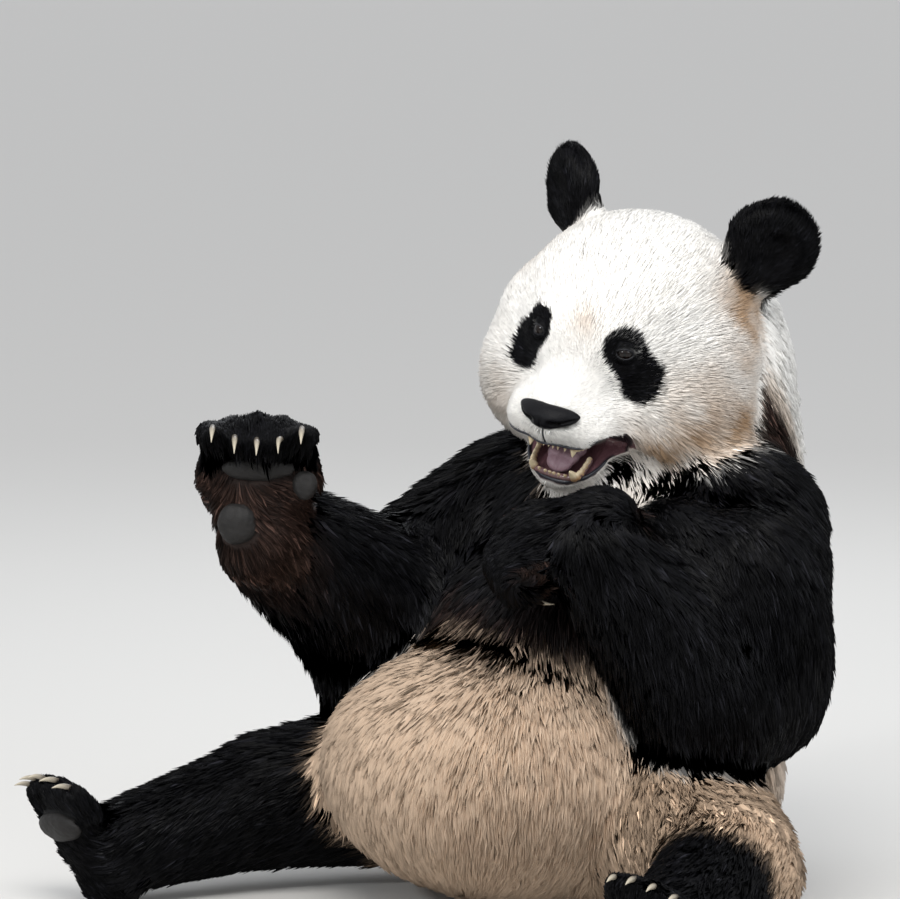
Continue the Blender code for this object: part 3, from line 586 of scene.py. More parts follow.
def lie(points, label):
    """The way that the hair is laid at each point, before it is drawn along the hide."""
    ways = np.zeros_like(points)
    down, back = np.array((0.0, 0.0, -1.0)), np.array((0.0, 1.0, 0.0))
    _, left, up = in_head(points)
    head_turn = np.array(HEAD.to_3x3())
    head_down = -head_turn[:, 2]
    head_back = head_turn[:, 1]

    def put(name, way):
        chosen = label == FLESH.index(name)
        way = np.broadcast_to(way, points.shape)
        ways[chosen] = unit(way[chosen])

    nose = np.array(head_point(0.222, 0, -0.016))
    cheek = step(0.05, 0.10, np.abs(left)) * step(0.03, -0.05, up)
    put("head", unit(points - nose) + cheek[:, None] * (0.5 * head_down + 0.2 * head_back))
    lip = np.array(head_point(LOWER_LIP[0] + 0.01, 0, LOWER_LIP[1] + 0.02))
    put("lower_jaw", unit(points - lip) + 0.5 * head_down)
    put("neck", down + 0.25 * back)
    spine = points.copy()
    spine[:, 0], spine[:, 1] = 0.0, 0.15
    outward = unit(points - spine)
    put("chest", down + 0.25 * outward)
    put("belly", down + 0.20 * outward)
    put("rump", down + 0.30 * outward)
    put("tail", 0.80 * back + 0.60 * down)
    for side, sign in SIDES.items():
        ahead, beside, above = EAR_PLACE
        root = np.array(head_point(ahead, (beside - 0.030) * sign, above - 0.060))
        put("ear_" + side, points - root)
        upper = np.array((ELBOW[side] - SHOULDER[side]).normalized())
        fore = np.array((ELBOW[side] - WRIST[side]).normalized())
        put("upper_arm_" + side, 0.5 * upper + down + np.array((0.15 * sign, 0.45, 0.0)))
        reach = (WRIST[side] - ELBOW[side]).length
        along = step(0.0, 1.0, (points - np.array(ELBOW[side])) @ fore / -reach)
        put("forearm_" + side, down + (0.30 + 0.9 * along)[:, None] * fore + 0.15 * outward)
        put("fore_paw_" + side, paw_lie(points, side) + 0.25 * down)
        put("thigh_" + side, np.array((KNEE[side] - HIP[side]).normalized()) + 0.35 * down)
        put("shank_" + side, np.array((ANKLE[side] - KNEE[side]).normalized()) + 0.25 * down)
        put("hind_foot_" + side, np.array(FOOT[side])[:3, 1])
    return ways


def patch_share(points):
    """1 in the black patches round the eyes: upright above, and spread outward below."""
    ahead, left, up = in_head(points)
    place = np.stack([np.abs(left), up], 1)
    top, foot = np.array(PATCH_TOP), np.array(PATCH_FOOT)
    down = np.clip((place - top) @ (foot - top) / ((foot - top) @ (foot - top)), 0.0, 1.0)[:, None]
    half = blend(np.array(PATCH_HALF[0]), np.array(PATCH_HALF[1]), down)
    off = np.abs(place - blend(top, foot, down)) / half
    r = (off**PATCH_SQUARE).sum(1) ** (1 / PATCH_SQUARE) + 0.07 * ripple(points, 0.012, 1.0)
    return step(1.07, 0.97, r) * step(0.02, 0.05, ahead)


def near(points, place, reach):
    """1 at a place, falling softly to nearly 0 at twice that reach."""
    return np.exp(-(((points - np.array(place)) ** 2).sum(1)) / reach**2)


def turn_from_front(points, middle):
    """Each point's turn about an upright middle line, in degrees from the front."""
    return np.degrees(np.arctan2(np.abs(points[:, 0] - middle[0]), middle[1] - points[:, 1]))


def down_limb(points, start, end):
    """How far each point lies along a limb, from its upper joint at 0 to its lower at 1."""
    span = np.array(end - start)
    return ((points - np.array(start)) @ span) / (span @ span)


def trunk_marks(points, name_is, rough, black, tan, rust):
    """The black vest, rusty along its lower edge in front, and the stained belly and back below it."""
    trunk = name_is["chest"] | name_is["belly"] | name_is["rump"]
    turn = turn_from_front(points, TRUNK)
    edge = np.interp(turn, list(VEST), list(VEST.values()))
    height = points[:, 2] + rough
    rusty = step(95, 45, turn) * step(edge + 0.075, edge - 0.010, height)
    black = np.where(trunk, step(edge - 0.030, edge + 0.030, height), black)
    tan = np.where(trunk, blend(0.28, 0.85, step(150, 80, turn)), tan)
    return black, tan, np.where(trunk, rusty, rust)


def leg_marks(points, name_is, rough, black, tan, rust):
    """Legs that turn black towards the foot, and the near thigh darkened, partly for its brown and partly as
    painted shadow.
    """
    for side in SIDES:
        for limb, upper, lower in (("thigh", HIP, KNEE), ("shank", KNEE, ANKLE)):
            start = LEG_BLACK[limb][side]
            along = down_limb(points, upper[side], lower[side]) + rough * 3
            share = step(start, start + 0.20, along)
            # The near thigh is darkened, partly as painted shadow.
            if limb == "thigh":
                share = np.maximum(share, THIGH_BROWN_AND_SHADOW[side])
            on_limb = name_is[f"{limb}_{side}"]
            black[on_limb] = share[on_limb]
    return black, tan, rust


def neck_marks(points, name_is, rough, black, tan, rust):
    """The black collar, with stained hair above it at the side, and the pale throat."""
    on_neck = name_is["neck"].astype(float)
    turn = turn_from_front(points, NAPE)
    edge = np.interp(turn, list(COLLAR), list(COLLAR.values()))
    collar = on_neck * step(edge + 0.012, edge - 0.012, points[:, 2] + 0.6 * rough)
    black = np.maximum(black, collar)
    place, reach = THROAT
    off = np.linalg.norm(points - np.array(place), axis=1) + 0.2 * rough
    bib = (name_is["chest"] | name_is["neck"]) * step(reach + 0.005, reach - 0.005, off)
    black, tan = black * (1.0 - bib), blend(tan, THROAT_TAN, bib)
    at_side = step(40, 80, turn) * step(150, 105, turn)
    fringe = on_neck * at_side * step(edge + 0.050, edge, points[:, 2])
    return black, np.maximum(tan, 0.6 * fringe), np.maximum(rust, 0.8 * fringe)


def face_marks(points, name_is, rough, black, tan, rust):
    """The black round the eyes, nose and ears, and the stains on the white of the face."""
    face = (name_is["head"] | name_is["lower_jaw"]).astype(float)
    black = np.maximum(black, face * patch_share(points))
    black = np.maximum(black, face * (nose_round(*in_head(points)) < 0.95))
    ahead, beside, above = EAR_ROOT
    for sign in SIDES.values():
        root = np.array(head_point(ahead, sign * beside, above))
        off = np.linalg.norm(points - root, axis=1) + 0.25 * rough
        black = np.maximum(black, face * step(EAR_ROOT_REACH + 0.003, EAR_ROOT_REACH - 0.003, off))
    mottled = 0.75 + 0.25 * ripple(points, 0.020, 5.0)
    for place, reach, share in FACE_STAINS:
        tan = np.maximum(tan, face * share * near(points, head_point(*place), reach) * mottled)
    return black, tan, rust


def markings(points, label, plan):
    """The shares of black, tan and rust at each point of the outline."""
    name_is = {name: label == i for i, name in enumerate(FLESH)}
    rough = 0.020 * ripple(points, 0.045, 2.0) + 0.008 * ripple(points, 0.015, 3.0)
    shares = [plan[:, column].copy() for column in (BLACK, TAN, RUST)]
    for mark in (trunk_marks, leg_marks, neck_marks, face_marks):
        shares = mark(points, name_is, rough, *shares)
    return np.clip(np.stack(shares, 1), 0.0, 1.0)


def store(mesh, name, values):
    """Keeps one number, or one vector, for each vertex of the mesh."""
    kind, field = ("FLOAT_VECTOR", "vector") if values.ndim == 2 else ("FLOAT", "value")
    made = mesh.attributes.new(name, kind, "POINT")
    made.data.foreach_set(field, np.ascontiguousarray(values, np.float32).ravel())


def stored(mesh, name):
    """The numbers or vectors that are kept under a name."""
    attribute = mesh.attributes[name]
    field, width = ("vector", 3) if attribute.data_type == "FLOAT_VECTOR" else ("value", 1)
    return read_all(attribute.data, field, width, np.float32).astype(float)


VALUES = ("depth", "length", "width", "density", "lock", "hang", "stand", "black", "tan", "rust")


def plan_coat(obj):
    """Works out the coat over the outline, and keeps it with the hide's vertices."""
    mesh = obj.data
    points, normals, edges = vertex_array(mesh), normal_array(mesh), edge_array(mesh)
    label = nearest_flesh(points)
    plan = coat_plan(points, normals, label)
    plan[:, BLACK:] = markings(points, label, plan)
    plan[:, :BLACK] = spread(plan[:, :BLACK], edges, 9)
    plan[:, BLACK:] = spread(plan[:, BLACK:], edges, 1)
    ways = flattened(spread(lie(points, label), edges, 8), normals)
    for _ in range(4):
        ways = flattened(spread(ways, edges, 4), normals)
    for name, column in zip(VALUES, plan.T):
        store(mesh, name, column)
    store(mesh, "lie", unit(ways))
    store(mesh, "face", np.isin(label, [FLESH.index("head"), FLESH.index("lower_jaw")]).astype(float))


def draw_in(obj):
    """Draws the hide in from the outline by the depth of the coat."""
    mesh = obj.data
    edges = edge_array(mesh)
    depth = spread(stored(mesh, "depth")[:, None], edges, 6) / 1000.0
    rounds = 4
    for _ in range(rounds):
        points = vertex_array(mesh) - normal_array(mesh) * (depth + SWELL) / rounds
        points = blend(points, spread(points, edges, 1), np.clip(depth / 0.012, 0.0, 1.0))
        move_vertices(mesh, points)


def refine(obj, chosen, rounds):
    """Divides the faces of the hide round the chosen vertices, so that they can take finer form."""
    bm = bmesh.new()
    bm.from_mesh(obj.data)
    picked = chosen(np.array([vert.co for vert in bm.verts]))
    bm.verts.ensure_lookup_table()
    edges = [edge for edge in bm.edges if picked[edge.verts[0].index] and picked[edge.verts[1].index]]
    made = bmesh.ops.subdivide_edges(bm, edges=edges, cuts=1, use_grid_fill=True)
    soft = [item for item in made["geom_inner"] if isinstance(item, bmesh.types.BMVert)]
    for _ in range(rounds):
        bmesh.ops.smooth_vert(bm, verts=soft, factor=0.5, use_axis_x=True, use_axis_y=True, use_axis_z=True)
    bm.to_mesh(obj.data)
    bm.free()


def round_eyes(reach):
    """A choice of the vertices within that reach of either eye."""

    def chosen(points):
        found = np.zeros(len(points), bool)
        for side in SIDES:
            eye = local(points, EYE[side])
            found |= (np.linalg.norm(eye[:, :2], axis=1) < reach) & (eye[:, 2] > -0.01)
        return found

    return chosen


def on_muzzle(points):
    ahead, left, up = in_head(points)
    return (ahead > 0.125) & (np.abs(left) < 0.080) & (up < 0.030)


def round_mouth(points):
    ahead, left, up = in_head(points)
    return (ahead > 0.120) & (np.abs(left) < 0.070) & (up < -0.020) & (up > -0.125)


def lid_opening(x, y):
    """Less than 1 between the lids, in the eye's frame."""
    return np.sqrt((x / LID_OPEN[0]) ** 2 + (y / LID_OPEN[1]) ** 2)


def form_lids(obj):
    """Draws the hide over each eyeball, and opens it between the lids."""
    mesh = obj.data
    points = vertex_array(mesh)
    for side in SIDES:
        eye = local(points, EYE[side])
        x, y, z = eye.T
        r = np.hypot(x, y)
        ball = EYE_SIZE + LID_THICK
        over = np.sqrt(np.maximum(ball**2 - np.minimum(r, ball * 0.92) ** 2, 0.0))
        fold = sum(height * hump(y, above, reach) for height, above, reach in LID_FOLDS)
        goal = over + fold * step(0.016, 0.008, np.abs(x))
        goal = np.where(lid_opening(x, y) < 1.0, np.minimum(goal, over - LID_EDGE_DEPTH), goal)
        share = step(FACE_REACH, 0.0125, r) * (z > -0.012)
        eye[:, 2] = blend(z, goal, share)
        points = np.where((share > 0)[:, None], world(eye, EYE[side]), points)
    move_vertices(mesh, points)


def line_mouth(obj):
    """Marks the bare flesh of the mouth on the finished hide, and darkens the edge of its lips: their dark
    skin, and under the upper lip painted shade.
    """
    mesh = obj.data
    inside, rim = mouth_share(vertex_array(mesh), normal_array(mesh))
    face = stored(mesh, "face")
    store(mesh, "mouth", inside * face)
    darkened = np.maximum(stored(mesh, "black"), rim * face)
    mesh.attributes["black"].data.foreach_set("value", darkened)


hide = piece("hide", flesh())
fuse(hide, HIDE_GRAIN, 3)
plan_coat(hide)
draw_in(hide)
refine(hide, on_muzzle, 2)
refine(hide, round_mouth, 1)
refine(hide, round_eyes(FACE_REACH), 2)
refine(hide, round_eyes(FACE_REACH * 0.72), 2)
form_lids(hide)
line_mouth(hide)
hide.data.shade_smooth()

# ---- The finish of hide and coat
# Hide and hair are dyed alike: warm white, black with a cool gloss, tan where the white is stained,
# and rusty brown on palms and chest, with the near thigh darkened partly as painted shadow and a few
# black tufts painted lighter as glints. The hide adds grain, and bare wet skin in the mouth, painted darker
# as shade.


class Wire:
    """A socket of a material, with arithmetic."""

    def __init__(self, finish, socket):
        self.finish, self.socket = finish, socket

    def maths(self, operation, *values):
        return self.finish.node("ShaderNodeMath", {"operation": operation}, *values)

    def __add__(self, other):
        return self.maths("ADD", self, other)

    def __radd__(self, other):
        return self.maths("ADD", other, self)

    def __sub__(self, other):
        return self.maths("SUBTRACT", self, other)

    def __rsub__(self, other):
        return self.maths("SUBTRACT", other, self)

    def __mul__(self, other):
        return self.maths("MULTIPLY", self, other)

    def __rmul__(self, other):
        return self.maths("MULTIPLY", other, self)


class Finish:
    """One material, to which node() adds any node, and whose shader set() fills."""

    def __init__(self, name):
        self.material = bpy.data.materials.new(name)
        self.material.use_nodes = True
        self.tree = self.material.node_tree
        self.shader = self.tree.nodes["Principled BSDF"]

    def fill(self, socket, value):
        if isinstance(value, Wire):
            self.tree.links.new(value.socket, socket)
        elif isinstance(value, tuple) and len(value) == 3 and socket.type == "RGBA":
            socket.default_value = (*value, 1.0)
        else:
            socket.default_value = value

    def node(self, kind, settings, *values, result=0, **named):
        made = self.tree.nodes.new(kind)
        for key, setting in settings.items():
            if key == "stops":
                ramp = made.color_ramp.elements
                for _ in setting[2:]:
                    ramp.new(0.5)
                for element, (place, colour) in zip(ramp, setting):
                    element.position, element.color = place, (*colour, 1.0)
            else:
                setattr(made, key, setting)
        for socket, value in zip(made.inputs, values):
            self.fill(socket, value)
        for key, value in named.items():
            self.fill(made.inputs[key], value)
        return Wire(self, made.outputs[result])

    def set(self, **values):
        for key, value in values.items():
            self.fill(self.shader.inputs[key.replace("_", " ")], value)
        return self

    def places(self):
        return self.node("ShaderNodeTexCoord", {}, result="Object")

    def held(self, name, result="Fac"):
        """A value that is kept with the vertices."""
        return self.node("ShaderNodeAttribute", {"attribute_name": name}, result=result)

    def mix(self, share, first, second):
        """The first colour where the share is 0, and the second where it is 1."""
        made = self.tree.nodes.new("ShaderNodeMix")
        made.data_type = "RGBA"
        self.fill(made.inputs[0], share)
        self.fill(made.inputs[6], first)
        self.fill(made.inputs[7], second)
        return Wire(self, made.outputs[2])

    def shaded(self, colour, factor):
        """A colour made lighter or darker by a factor."""
        return self.node("ShaderNodeVectorMath", {"operation": "SCALE"}, colour, Scale=factor)

    def noise(self, scale, detail=3.0):
        return self.node("ShaderNodeTexNoise", {}, Vector=self.places(), Scale=scale, Detail=detail)

    def cells(self, scale, feature="F1"):
        """Cobbles, or with the feature DISTANCE_TO_EDGE the creases between them."""
        return self.node("ShaderNodeTexVoronoi", {"feature": feature}, Vector=self.places(), Scale=scale)

    def bump(self, height, strength, distance):
        wire = self.node("ShaderNodeBump", {}, Strength=strength, Distance=distance, Height=height)
        return self.set(Normal=wire)


WHITE_HAIR = (0.93, 0.91, 0.87)
TAN_HAIR = (0.47, 0.315, 0.195)
BLACK_HAIR = (0.0023, 0.0023, 0.0029)
RUST_HAIR = (0.020, 0.0115, 0.0090)
WHITE_ROUGH, BLACK_ROUGH = 0.75, 0.40
# The flesh in the mouth is painted at about half its brightness, as painted shade inside it; the lips' dark
# edge is their own skin and, under the upper lip, painted shade.
MOUTH_FLESH_IN_SHADE, LIP_DARK_AND_SHADE = (0.17, 0.080, 0.092), (0.022, 0.017, 0.021)
DRY, WET = 0.80, 0.32  # roughness of the hide, and of the bare flesh in the mouth


def dyed_and_shaded(finish):
    """Base colour of hide and hair, from the markings kept with the vertices, whose black share also holds
    painted shadow on the near thigh and painted shade at the lips.
    """
    light = finish.mix(finish.held("tan"), WHITE_HAIR, TAN_HAIR)
    dark = finish.mix(finish.held("rust"), BLACK_HAIR, RUST_HAIR)
    return finish.mix(finish.held("black"), light, dark)


hair = Finish("hair")
# Each tuft's tone: random, and on a few black tufts a painted glint.
hair_tone_and_glints = hair.held("tone")
hair.set(Base_Color=hair.shaded(dyed_and_shaded(hair), hair_tone_and_glints))
hair.set(Roughness=WHITE_ROUGH + hair.held("black") * (BLACK_ROUGH - WHITE_ROUGH))
hair.set(Specular_IOR_Level=0.07)

pelt = Finish("pelt")
streaks = pelt.noise(420.0, 4.0)
in_mouth = pelt.held("mouth")
# Bare flesh in the mouth, darkened as painted shade, and the dark edge of the lips.
shaded_lining = pelt.mix(pelt.held("black"), MOUTH_FLESH_IN_SHADE, LIP_DARK_AND_SHADE)
pelt_colour = pelt.mix(in_mouth, pelt.shaded(dyed_and_shaded(pelt), 0.62 + 0.5 * streaks), shaded_lining)
pelt.set(Base_Color=pelt_colour, Roughness=DRY - (DRY - WET) * in_mouth, Specular_IOR_Level=0.25)
pelt.bump(streaks, 0.5, 0.002)

hide.data.materials.clear()
hide.data.materials.append(pelt.material)
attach(hide, "root")
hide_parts(*FLESH)

# ---- The coat
# Hair in fine tufts of solid fibre, rooted in the hide and laid along it: short and dense on the face,
# long and drawn into locks on the body, standing off on ears and paws, hanging under the forearms.

TUFTS = {"coat_head": 116000, "coat_body": 252000}  # sown, of which those on bare skin are left out
MOST_IN_PIECE = 46000  # tufts in one piece of the coat
PATCH = 0.003  # a tuft's own patch on the map
SIDE_SHADE = {"coat_head": 0.30, "coat_body": 0.80}  # how round a tuft is shaded
TUFTS_IN_LOCK = 9
LENGTHS, DEPTHS, WIDTHS = (0.62, 1.18), (0.35, 1.08), (0.70, 1.15)  # shares of the plan's values
SWIRL, STRAY = 0.22, 0.16  # radians: how far the lie of the coat wanders, and that of each tuft
ROOT_SINK = 0.0012  # how far a tuft is rooted in the hide
PALE, PALE_SPAN = 0.98, (0.80, 1.06)  # the tone of white hair
DARK_SPAN = (0.4, 9.0)  # the tone of black hair, which reaches up to the painted glints
GLINTS, GLINT = 0.03, 4.0  # the share of black tufts painted lighter as painted glints, and how much lighter they are
HIDE_MAP = "OFBake"


def map_hide(obj):
    """Unwraps the hide, so that each tuft can take its root's place on the map."""
    bpy.context.view_layer.objects.active = obj
    obj.select_set(True)
    obj.data.uv_layers.new(name=HIDE_MAP)
    bpy.ops.object.mode_set(mode="EDIT")
    bpy.ops.mesh.select_all(action="SELECT")
    bpy.ops.uv.smart_project(angle_limit=math.radians(66), island_margin=0.002)
    bpy.ops.object.mode_set(mode="OBJECT")
    obj.select_set(False)


class Ground:
    """The hide as arrays: what tufts need to know of where they root."""

    def __init__(self, obj):
        mesh = obj.data
        mesh.calc_loop_triangles()
        triangles = mesh.loop_triangles
        self.corners = read_all(triangles, "vertices", 3, np.int32)
        loops = read_all(triangles, "loops", 3, np.int32)
        self.uv = read_all(mesh.uv_layers[HIDE_MAP].data, "uv", 2, np.float32)[loops]
        self.points = vertex_array(mesh)
        self.normals = normal_array(mesh)
        self.ways = stored(mesh, "lie")
        self.values = {name: stored(mesh, name) for name in (*VALUES, "mouth")}
        a, b, c = (self.points[self.corners[:, k]] for k in range(3))
        self.areas = 0.5 * np.linalg.norm(np.cross(b - a, c - a), axis=1)
        polygons = [tuple(face.vertices) for face in mesh.polygons]
        self.tree = BVHTree.FromPolygons([Vector(p) for p in self.points], polygons)
        faces = read_all(triangles, "polygon_index", 1, np.int32)
        self.face_way = self.over_faces(faces, len(polygons), self.ways)
        self.face_normal = self.over_faces(faces, len(polygons), self.normals)

    def over_faces(self, faces, count, directions):
        """The mean of the vertices' directions over each face, given each triangle's face."""
        total = np.zeros((count, 3))
        for k in range(3):
            np.add.at(total, faces, directions[self.corners[:, k]])
        return unit(total)

    def at_uv(self, triangle, weights):
        """The hide's own map, read at places in the triangles."""
        return (self.uv[triangle] * weights[:, :, None]).sum(1)

    def at(self, triangle, weights, values):
        """Values of the vertices, read at places in the triangles."""
        chosen = values[self.corners[triangle]]
        if chosen.ndim == 2:
            return (chosen * weights).sum(1)
        return (chosen * weights[:, :, None]).sum(1)


def sow(ground, share, count, rng):
    """Roots spread evenly over the hide: the triangle of each, and its place in it."""
    corners = ground.corners
    density = ground.values["density"][corners].mean(1) * share[corners].mean(1) * ground.areas
    total = np.cumsum(density)
    marks = (np.arange(count) + rng.random(count)) / count * total[-1]
    triangle = np.searchsorted(total, marks)
    u, v = rng.random(count), rng.random(count)
    over = u + v > 1.0
    u[over], v[over] = 1.0 - u[over], 1.0 - v[over]
    return triangle, np.stack([1.0 - u - v, u, v], 1)


def is_bare(points, in_mouth):
    """True in the mouth, on the pads, behind the nose, in the lip's groove and between the lids."""
    found = in_mouth > 0.35
    for name in PADS:
        found |= pad_share(points, name) > 0.5
    ahead, left, up = in_head(points)
    found |= nose_round(ahead, left, up) < 0.90
    below_nose = (up < NOSE_SPAN[2][0] + 0.006) & (up > MOUTH_CORNER[1])
    found |= below_nose & (np.abs(left) < 0.0020) & (ahead > 0.16)
    for side in SIDES:
        x, y, z = local(points, EYE[side]).T
        found |= (lid_opening(x, y) < 1.2) & (np.abs(z) < 0.03)
    return found


def turned(ways, normals, angles):
    """Directions turned about the normals."""
    across = np.cross(normals, ways)
    return ways * np.cos(angles)[:, None] + across * np.sin(angles)[:, None]


def landed(ground, points):
    """The nearest places on the hide, with its normal and the lie of the hair there."""
    found = [ground.tree.find_nearest(Vector(p)) for p in points]
    index = np.array([f[2] for f in found])
    return np.array([f[0] for f in found]), ground.face_normal[index], ground.face_way[index]


def laid(ground, roots, normals, ways, length, depth, hang, stand):
    """The middle and tip of each tuft, and the hide's normals there, as it follows the hide."""
    middle_at, middle_normal, middle_way = landed(ground, roots + ways * (length * 0.5)[:, None])
    onward = unit(flattened(unit(blend(ways, middle_way, 0.45)), middle_normal))
    tip_at, tip_normal, _ = landed(ground, middle_at + onward * (length * 0.5)[:, None])
    middle = middle_at + middle_normal * (depth * 0.72)[:, None]
    tip = tip_at + tip_normal * depth[:, None]
    length, hang, stand = length[:, None], hang[:, None], stand[:, None]
    middle = blend(middle, roots + (0.50 * ways + 0.25 * normals) * length, stand)
    tip = blend(tip, roots + (0.90 * ways + 0.36 * normals) * length, stand)
    droop = length * hang * np.array((0.0, 0.0, -1.0))
    free = roots + normals * (depth * 1.1)[:, None] + 0.35 * ways * length + droop
    return middle + 0.22 * droop, blend(tip, free, 0.8 * hang), (middle_normal, tip_normal)


def drawn_in_locks(roots, middle, tip, lock, rng):
    """Draws the tips of neighbouring tufts together, towards the one that leads their lock."""
    count = len(roots)
    leaders = rng.choice(count, max(1, int(count / TUFTS_IN_LOCK)), replace=False)
    tree = KDTree(len(leaders))
    for i, leader in enumerate(leaders):
        tree.insert(roots[leader], i)
    tree.balance()
    chosen = leaders[[tree.find(p)[1] for p in roots]]
    apart = np.linalg.norm(roots - roots[chosen], axis=1)
    share = lock * rng.uniform(0.6, 1.1, count) * step(0.022, 0.012, apart)
    share = np.clip(share, 0.0, 0.95)[:, None]
    return blend(middle, middle[chosen], share * 0.45), blend(tip, tip[chosen], share), chosen


def tuft_meshes(name, roots, normals, onward, middle, tip, width, uv, held):
    """Joins the tufts into pieces. Each is a closed fibre of four faces: root, tip and two edges."""
    across = unit(np.cross(tip - roots, normals))
    count = len(roots)
    half = across * width[:, None] / 2
    points = np.stack([roots, middle - half, middle + half, tip], 1)
    middle_normals, tip_normals = onward
    soft = np.stack([normals, middle_normals, middle_normals, tip_normals], 1)
    soft[:, 1] -= SIDE_SHADE[name] * across
    soft[:, 2] += SIDE_SHADE[name] * across
    soft /= np.linalg.norm(soft, axis=2, keepdims=True)
    faces = np.array([(0, 2, 1), (3, 1, 2), (0, 1, 3), (0, 3, 2)])
    spots = np.array([(0.5, 0), (0, 0.4), (1, 0.4), (0.5, 1)]) * PATCH
    pieces = []
    for start in range(0, count, MOST_IN_PIECE):
        part = slice(start, min(count, start + MOST_IN_PIECE))
        size = part.stop - part.start
        mesh = bpy.data.meshes.new(name)
        mesh.vertices.add(size * 4)
        mesh.vertices.foreach_set("co", points[part].ravel())
        corners = (faces[None] + (np.arange(size) * 4)[:, None, None]).ravel()
        mesh.loops.add(len(corners))
        mesh.loops.foreach_set("vertex_index", corners.astype(np.int32))
        mesh.polygons.add(size * len(faces))
        mesh.polygons.foreach_set("loop_start", np.arange(0, len(corners), 3, dtype=np.int32))
        mesh.update(calc_edges=True)
        layer = mesh.uv_layers.new(name=HIDE_MAP)
        places = (uv[part][:, None] + spots[faces.ravel()][None]).reshape(-1, 2)
        layer.data.foreach_set("uv", places.astype(np.float32).ravel())
        for key, values in held.items():
            store(mesh, key, np.repeat(values[part], 4))
        mesh.shade_smooth()
        mesh.normals_split_custom_set_from_vertices(soft[part].reshape(-1, 3))
        mesh.materials.append(hair.material)
        made = in_scene(f"{name}_{len(pieces) + 1}", mesh)
        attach(made, "root")
        pieces.append(made)
    return pieces


def uneven(rng, leader, own, shared):
    """An unevenness of each tuft's own, and one that it shares with its lock."""
    count = len(leader)
    return own * rng.normal(0.0, 1.0, count) + shared * rng.normal(0.0, 1.0, count)[leader]


def grow_coat(ground, name, share, rng):
    """Grows one length of the coat over the share of the hide that is its own."""
    thin = 1.0
    triangle, weights = sow(ground, share, int(TUFTS[name] * thin), rng)
    in_mouth = ground.at(triangle, weights, ground.values["mouth"])
    haired = ~is_bare(ground.at(triangle, weights, ground.points), in_mouth)
    triangle, weights, count = triangle[haired], weights[haired], int(haired.sum())
    roots = ground.at(triangle, weights, ground.points)
    normals = unit(ground.at(triangle, weights, ground.normals))
    ways = unit(flattened(ground.at(triangle, weights, ground.ways), normals))
    read = {key: ground.at(triangle, weights, values) for key, values in ground.values.items()}
    swirl = SWIRL * ripple(roots, 0.09, 4.0) + rng.normal(0.0, STRAY, count)
    ways = turned(ways, normals, swirl)
    length = read["length"] / 1000 * rng.uniform(*LENGTHS, count)
    depth = read["depth"] / 1000 * rng.uniform(*DEPTHS, count)
    width = read["width"] / 1000 * rng.uniform(*WIDTHS, count)
    middle, tip, onward = laid(ground, roots, normals, ways, length, depth, read["hang"], read["stand"])
    middle, tip, leader = drawn_in_locks(roots, middle, tip, read["lock"], rng)
    middle[:, 2], tip[:, 2] = np.maximum(middle[:, 2], 0.001), np.maximum(tip[:, 2], 0.001)
    if name == "coat_head":
        ahead, left, up = in_head(roots)
        round_eyes = (ahead > 0.05) & (np.abs(left) < 0.115) & (np.abs(up - 0.03) < 0.065)
        read["black"] = np.where(round_eyes, patch_share(roots), read["black"])
    pale = np.clip(PALE + uneven(rng, leader, 0.03, 0.04), *PALE_SPAN)
    dark = np.exp(uneven(rng, leader, 0.50, 0.35))
    # Painted glints: a few black tufts are painted several times lighter, standing in for highlights.
    dark *= np.where(rng.random(count) < GLINTS, GLINT, 1.0)
    held = {key: read[key] for key in ("black", "tan", "rust")}
    held["tone"] = blend(pale, np.clip(dark, *DARK_SPAN), read["black"])
    roots, uv = roots - normals * ROOT_SINK, ground.at_uv(triangle, weights)
    for made in tuft_meshes(name, roots, normals, onward, middle, tip, width, uv, held):
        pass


map_hide(hide)
ground = Ground(hide)

head_flesh = [i for i, name in enumerate(FLESH) if name.startswith(("head", "lower_jaw", "ear"))]
on_head = np.isin(nearest_flesh(ground.points), head_flesh).astype(float)
grow_coat(ground, "coat_head", on_head, np.random.default_rng(11))
grow_coat(ground, "coat_body", 1.0 - on_head, np.random.default_rng(12))

# ---- Eyes and lids
# Small dark-brown glass eyes with a narrow upright pupil, set deep in the lids. The rims of the lids
# are bare black skin, rolled over the glass.

IRIS_RADIUS = 0.0080
PUPIL_HALF = (0.0016, 0.0034)
CORNEA = 0.0011  # how far it bulges
PUPIL_BLACK = (0.002, 0.002, 0.002)
IRIS = [  # from its middle outward, and the dark white of the eye round it
    (0.0, (0.008, 0.004, 0.003)),
    (0.55, (0.006, 0.003, 0.002)),
    (0.88, (0.002, 0.0015, 0.0015)),
    (1.0, (0.012, 0.009, 0.008)),
]
LID_BLACK = (0.0075, 0.0075, 0.010)
LID_RIM = 0.0012  # radius of the lid's rolled edge
LID_RIM_STEPS = 44


def tube(name, points, radii, closed=False):
    """A round cord along a line, whose radius is given at each point, as a mesh."""
    data = bpy.data.curves.new(name, "CURVE")
    data.dimensions = "3D"
    data.bevel_depth = 1.0
    data.bevel_resolution = 4
    data.use_fill_caps = True
    spline = data.splines.new("POLY")
    spline.points.add(len(points) - 1)
    for knot, point, radius in zip(spline.points, points, radii):
        knot.co = (*point, 1.0)
        knot.radius = radius
    spline.use_cyclic_u = closed
    drawn = in_scene(name, data)
    mesh = worked_out(drawn)
    bpy.data.objects.remove(drawn)
    bpy.data.curves.remove(data)
    bm = bmesh.new()
    bm.from_mesh(mesh)
    bpy.data.meshes.remove(mesh)
    bmesh.ops.remove_doubles(bm, verts=bm.verts, dist=1e-6)
    bmesh.ops.recalc_face_normals(bm, faces=bm.faces)
    return piece(name, bm)


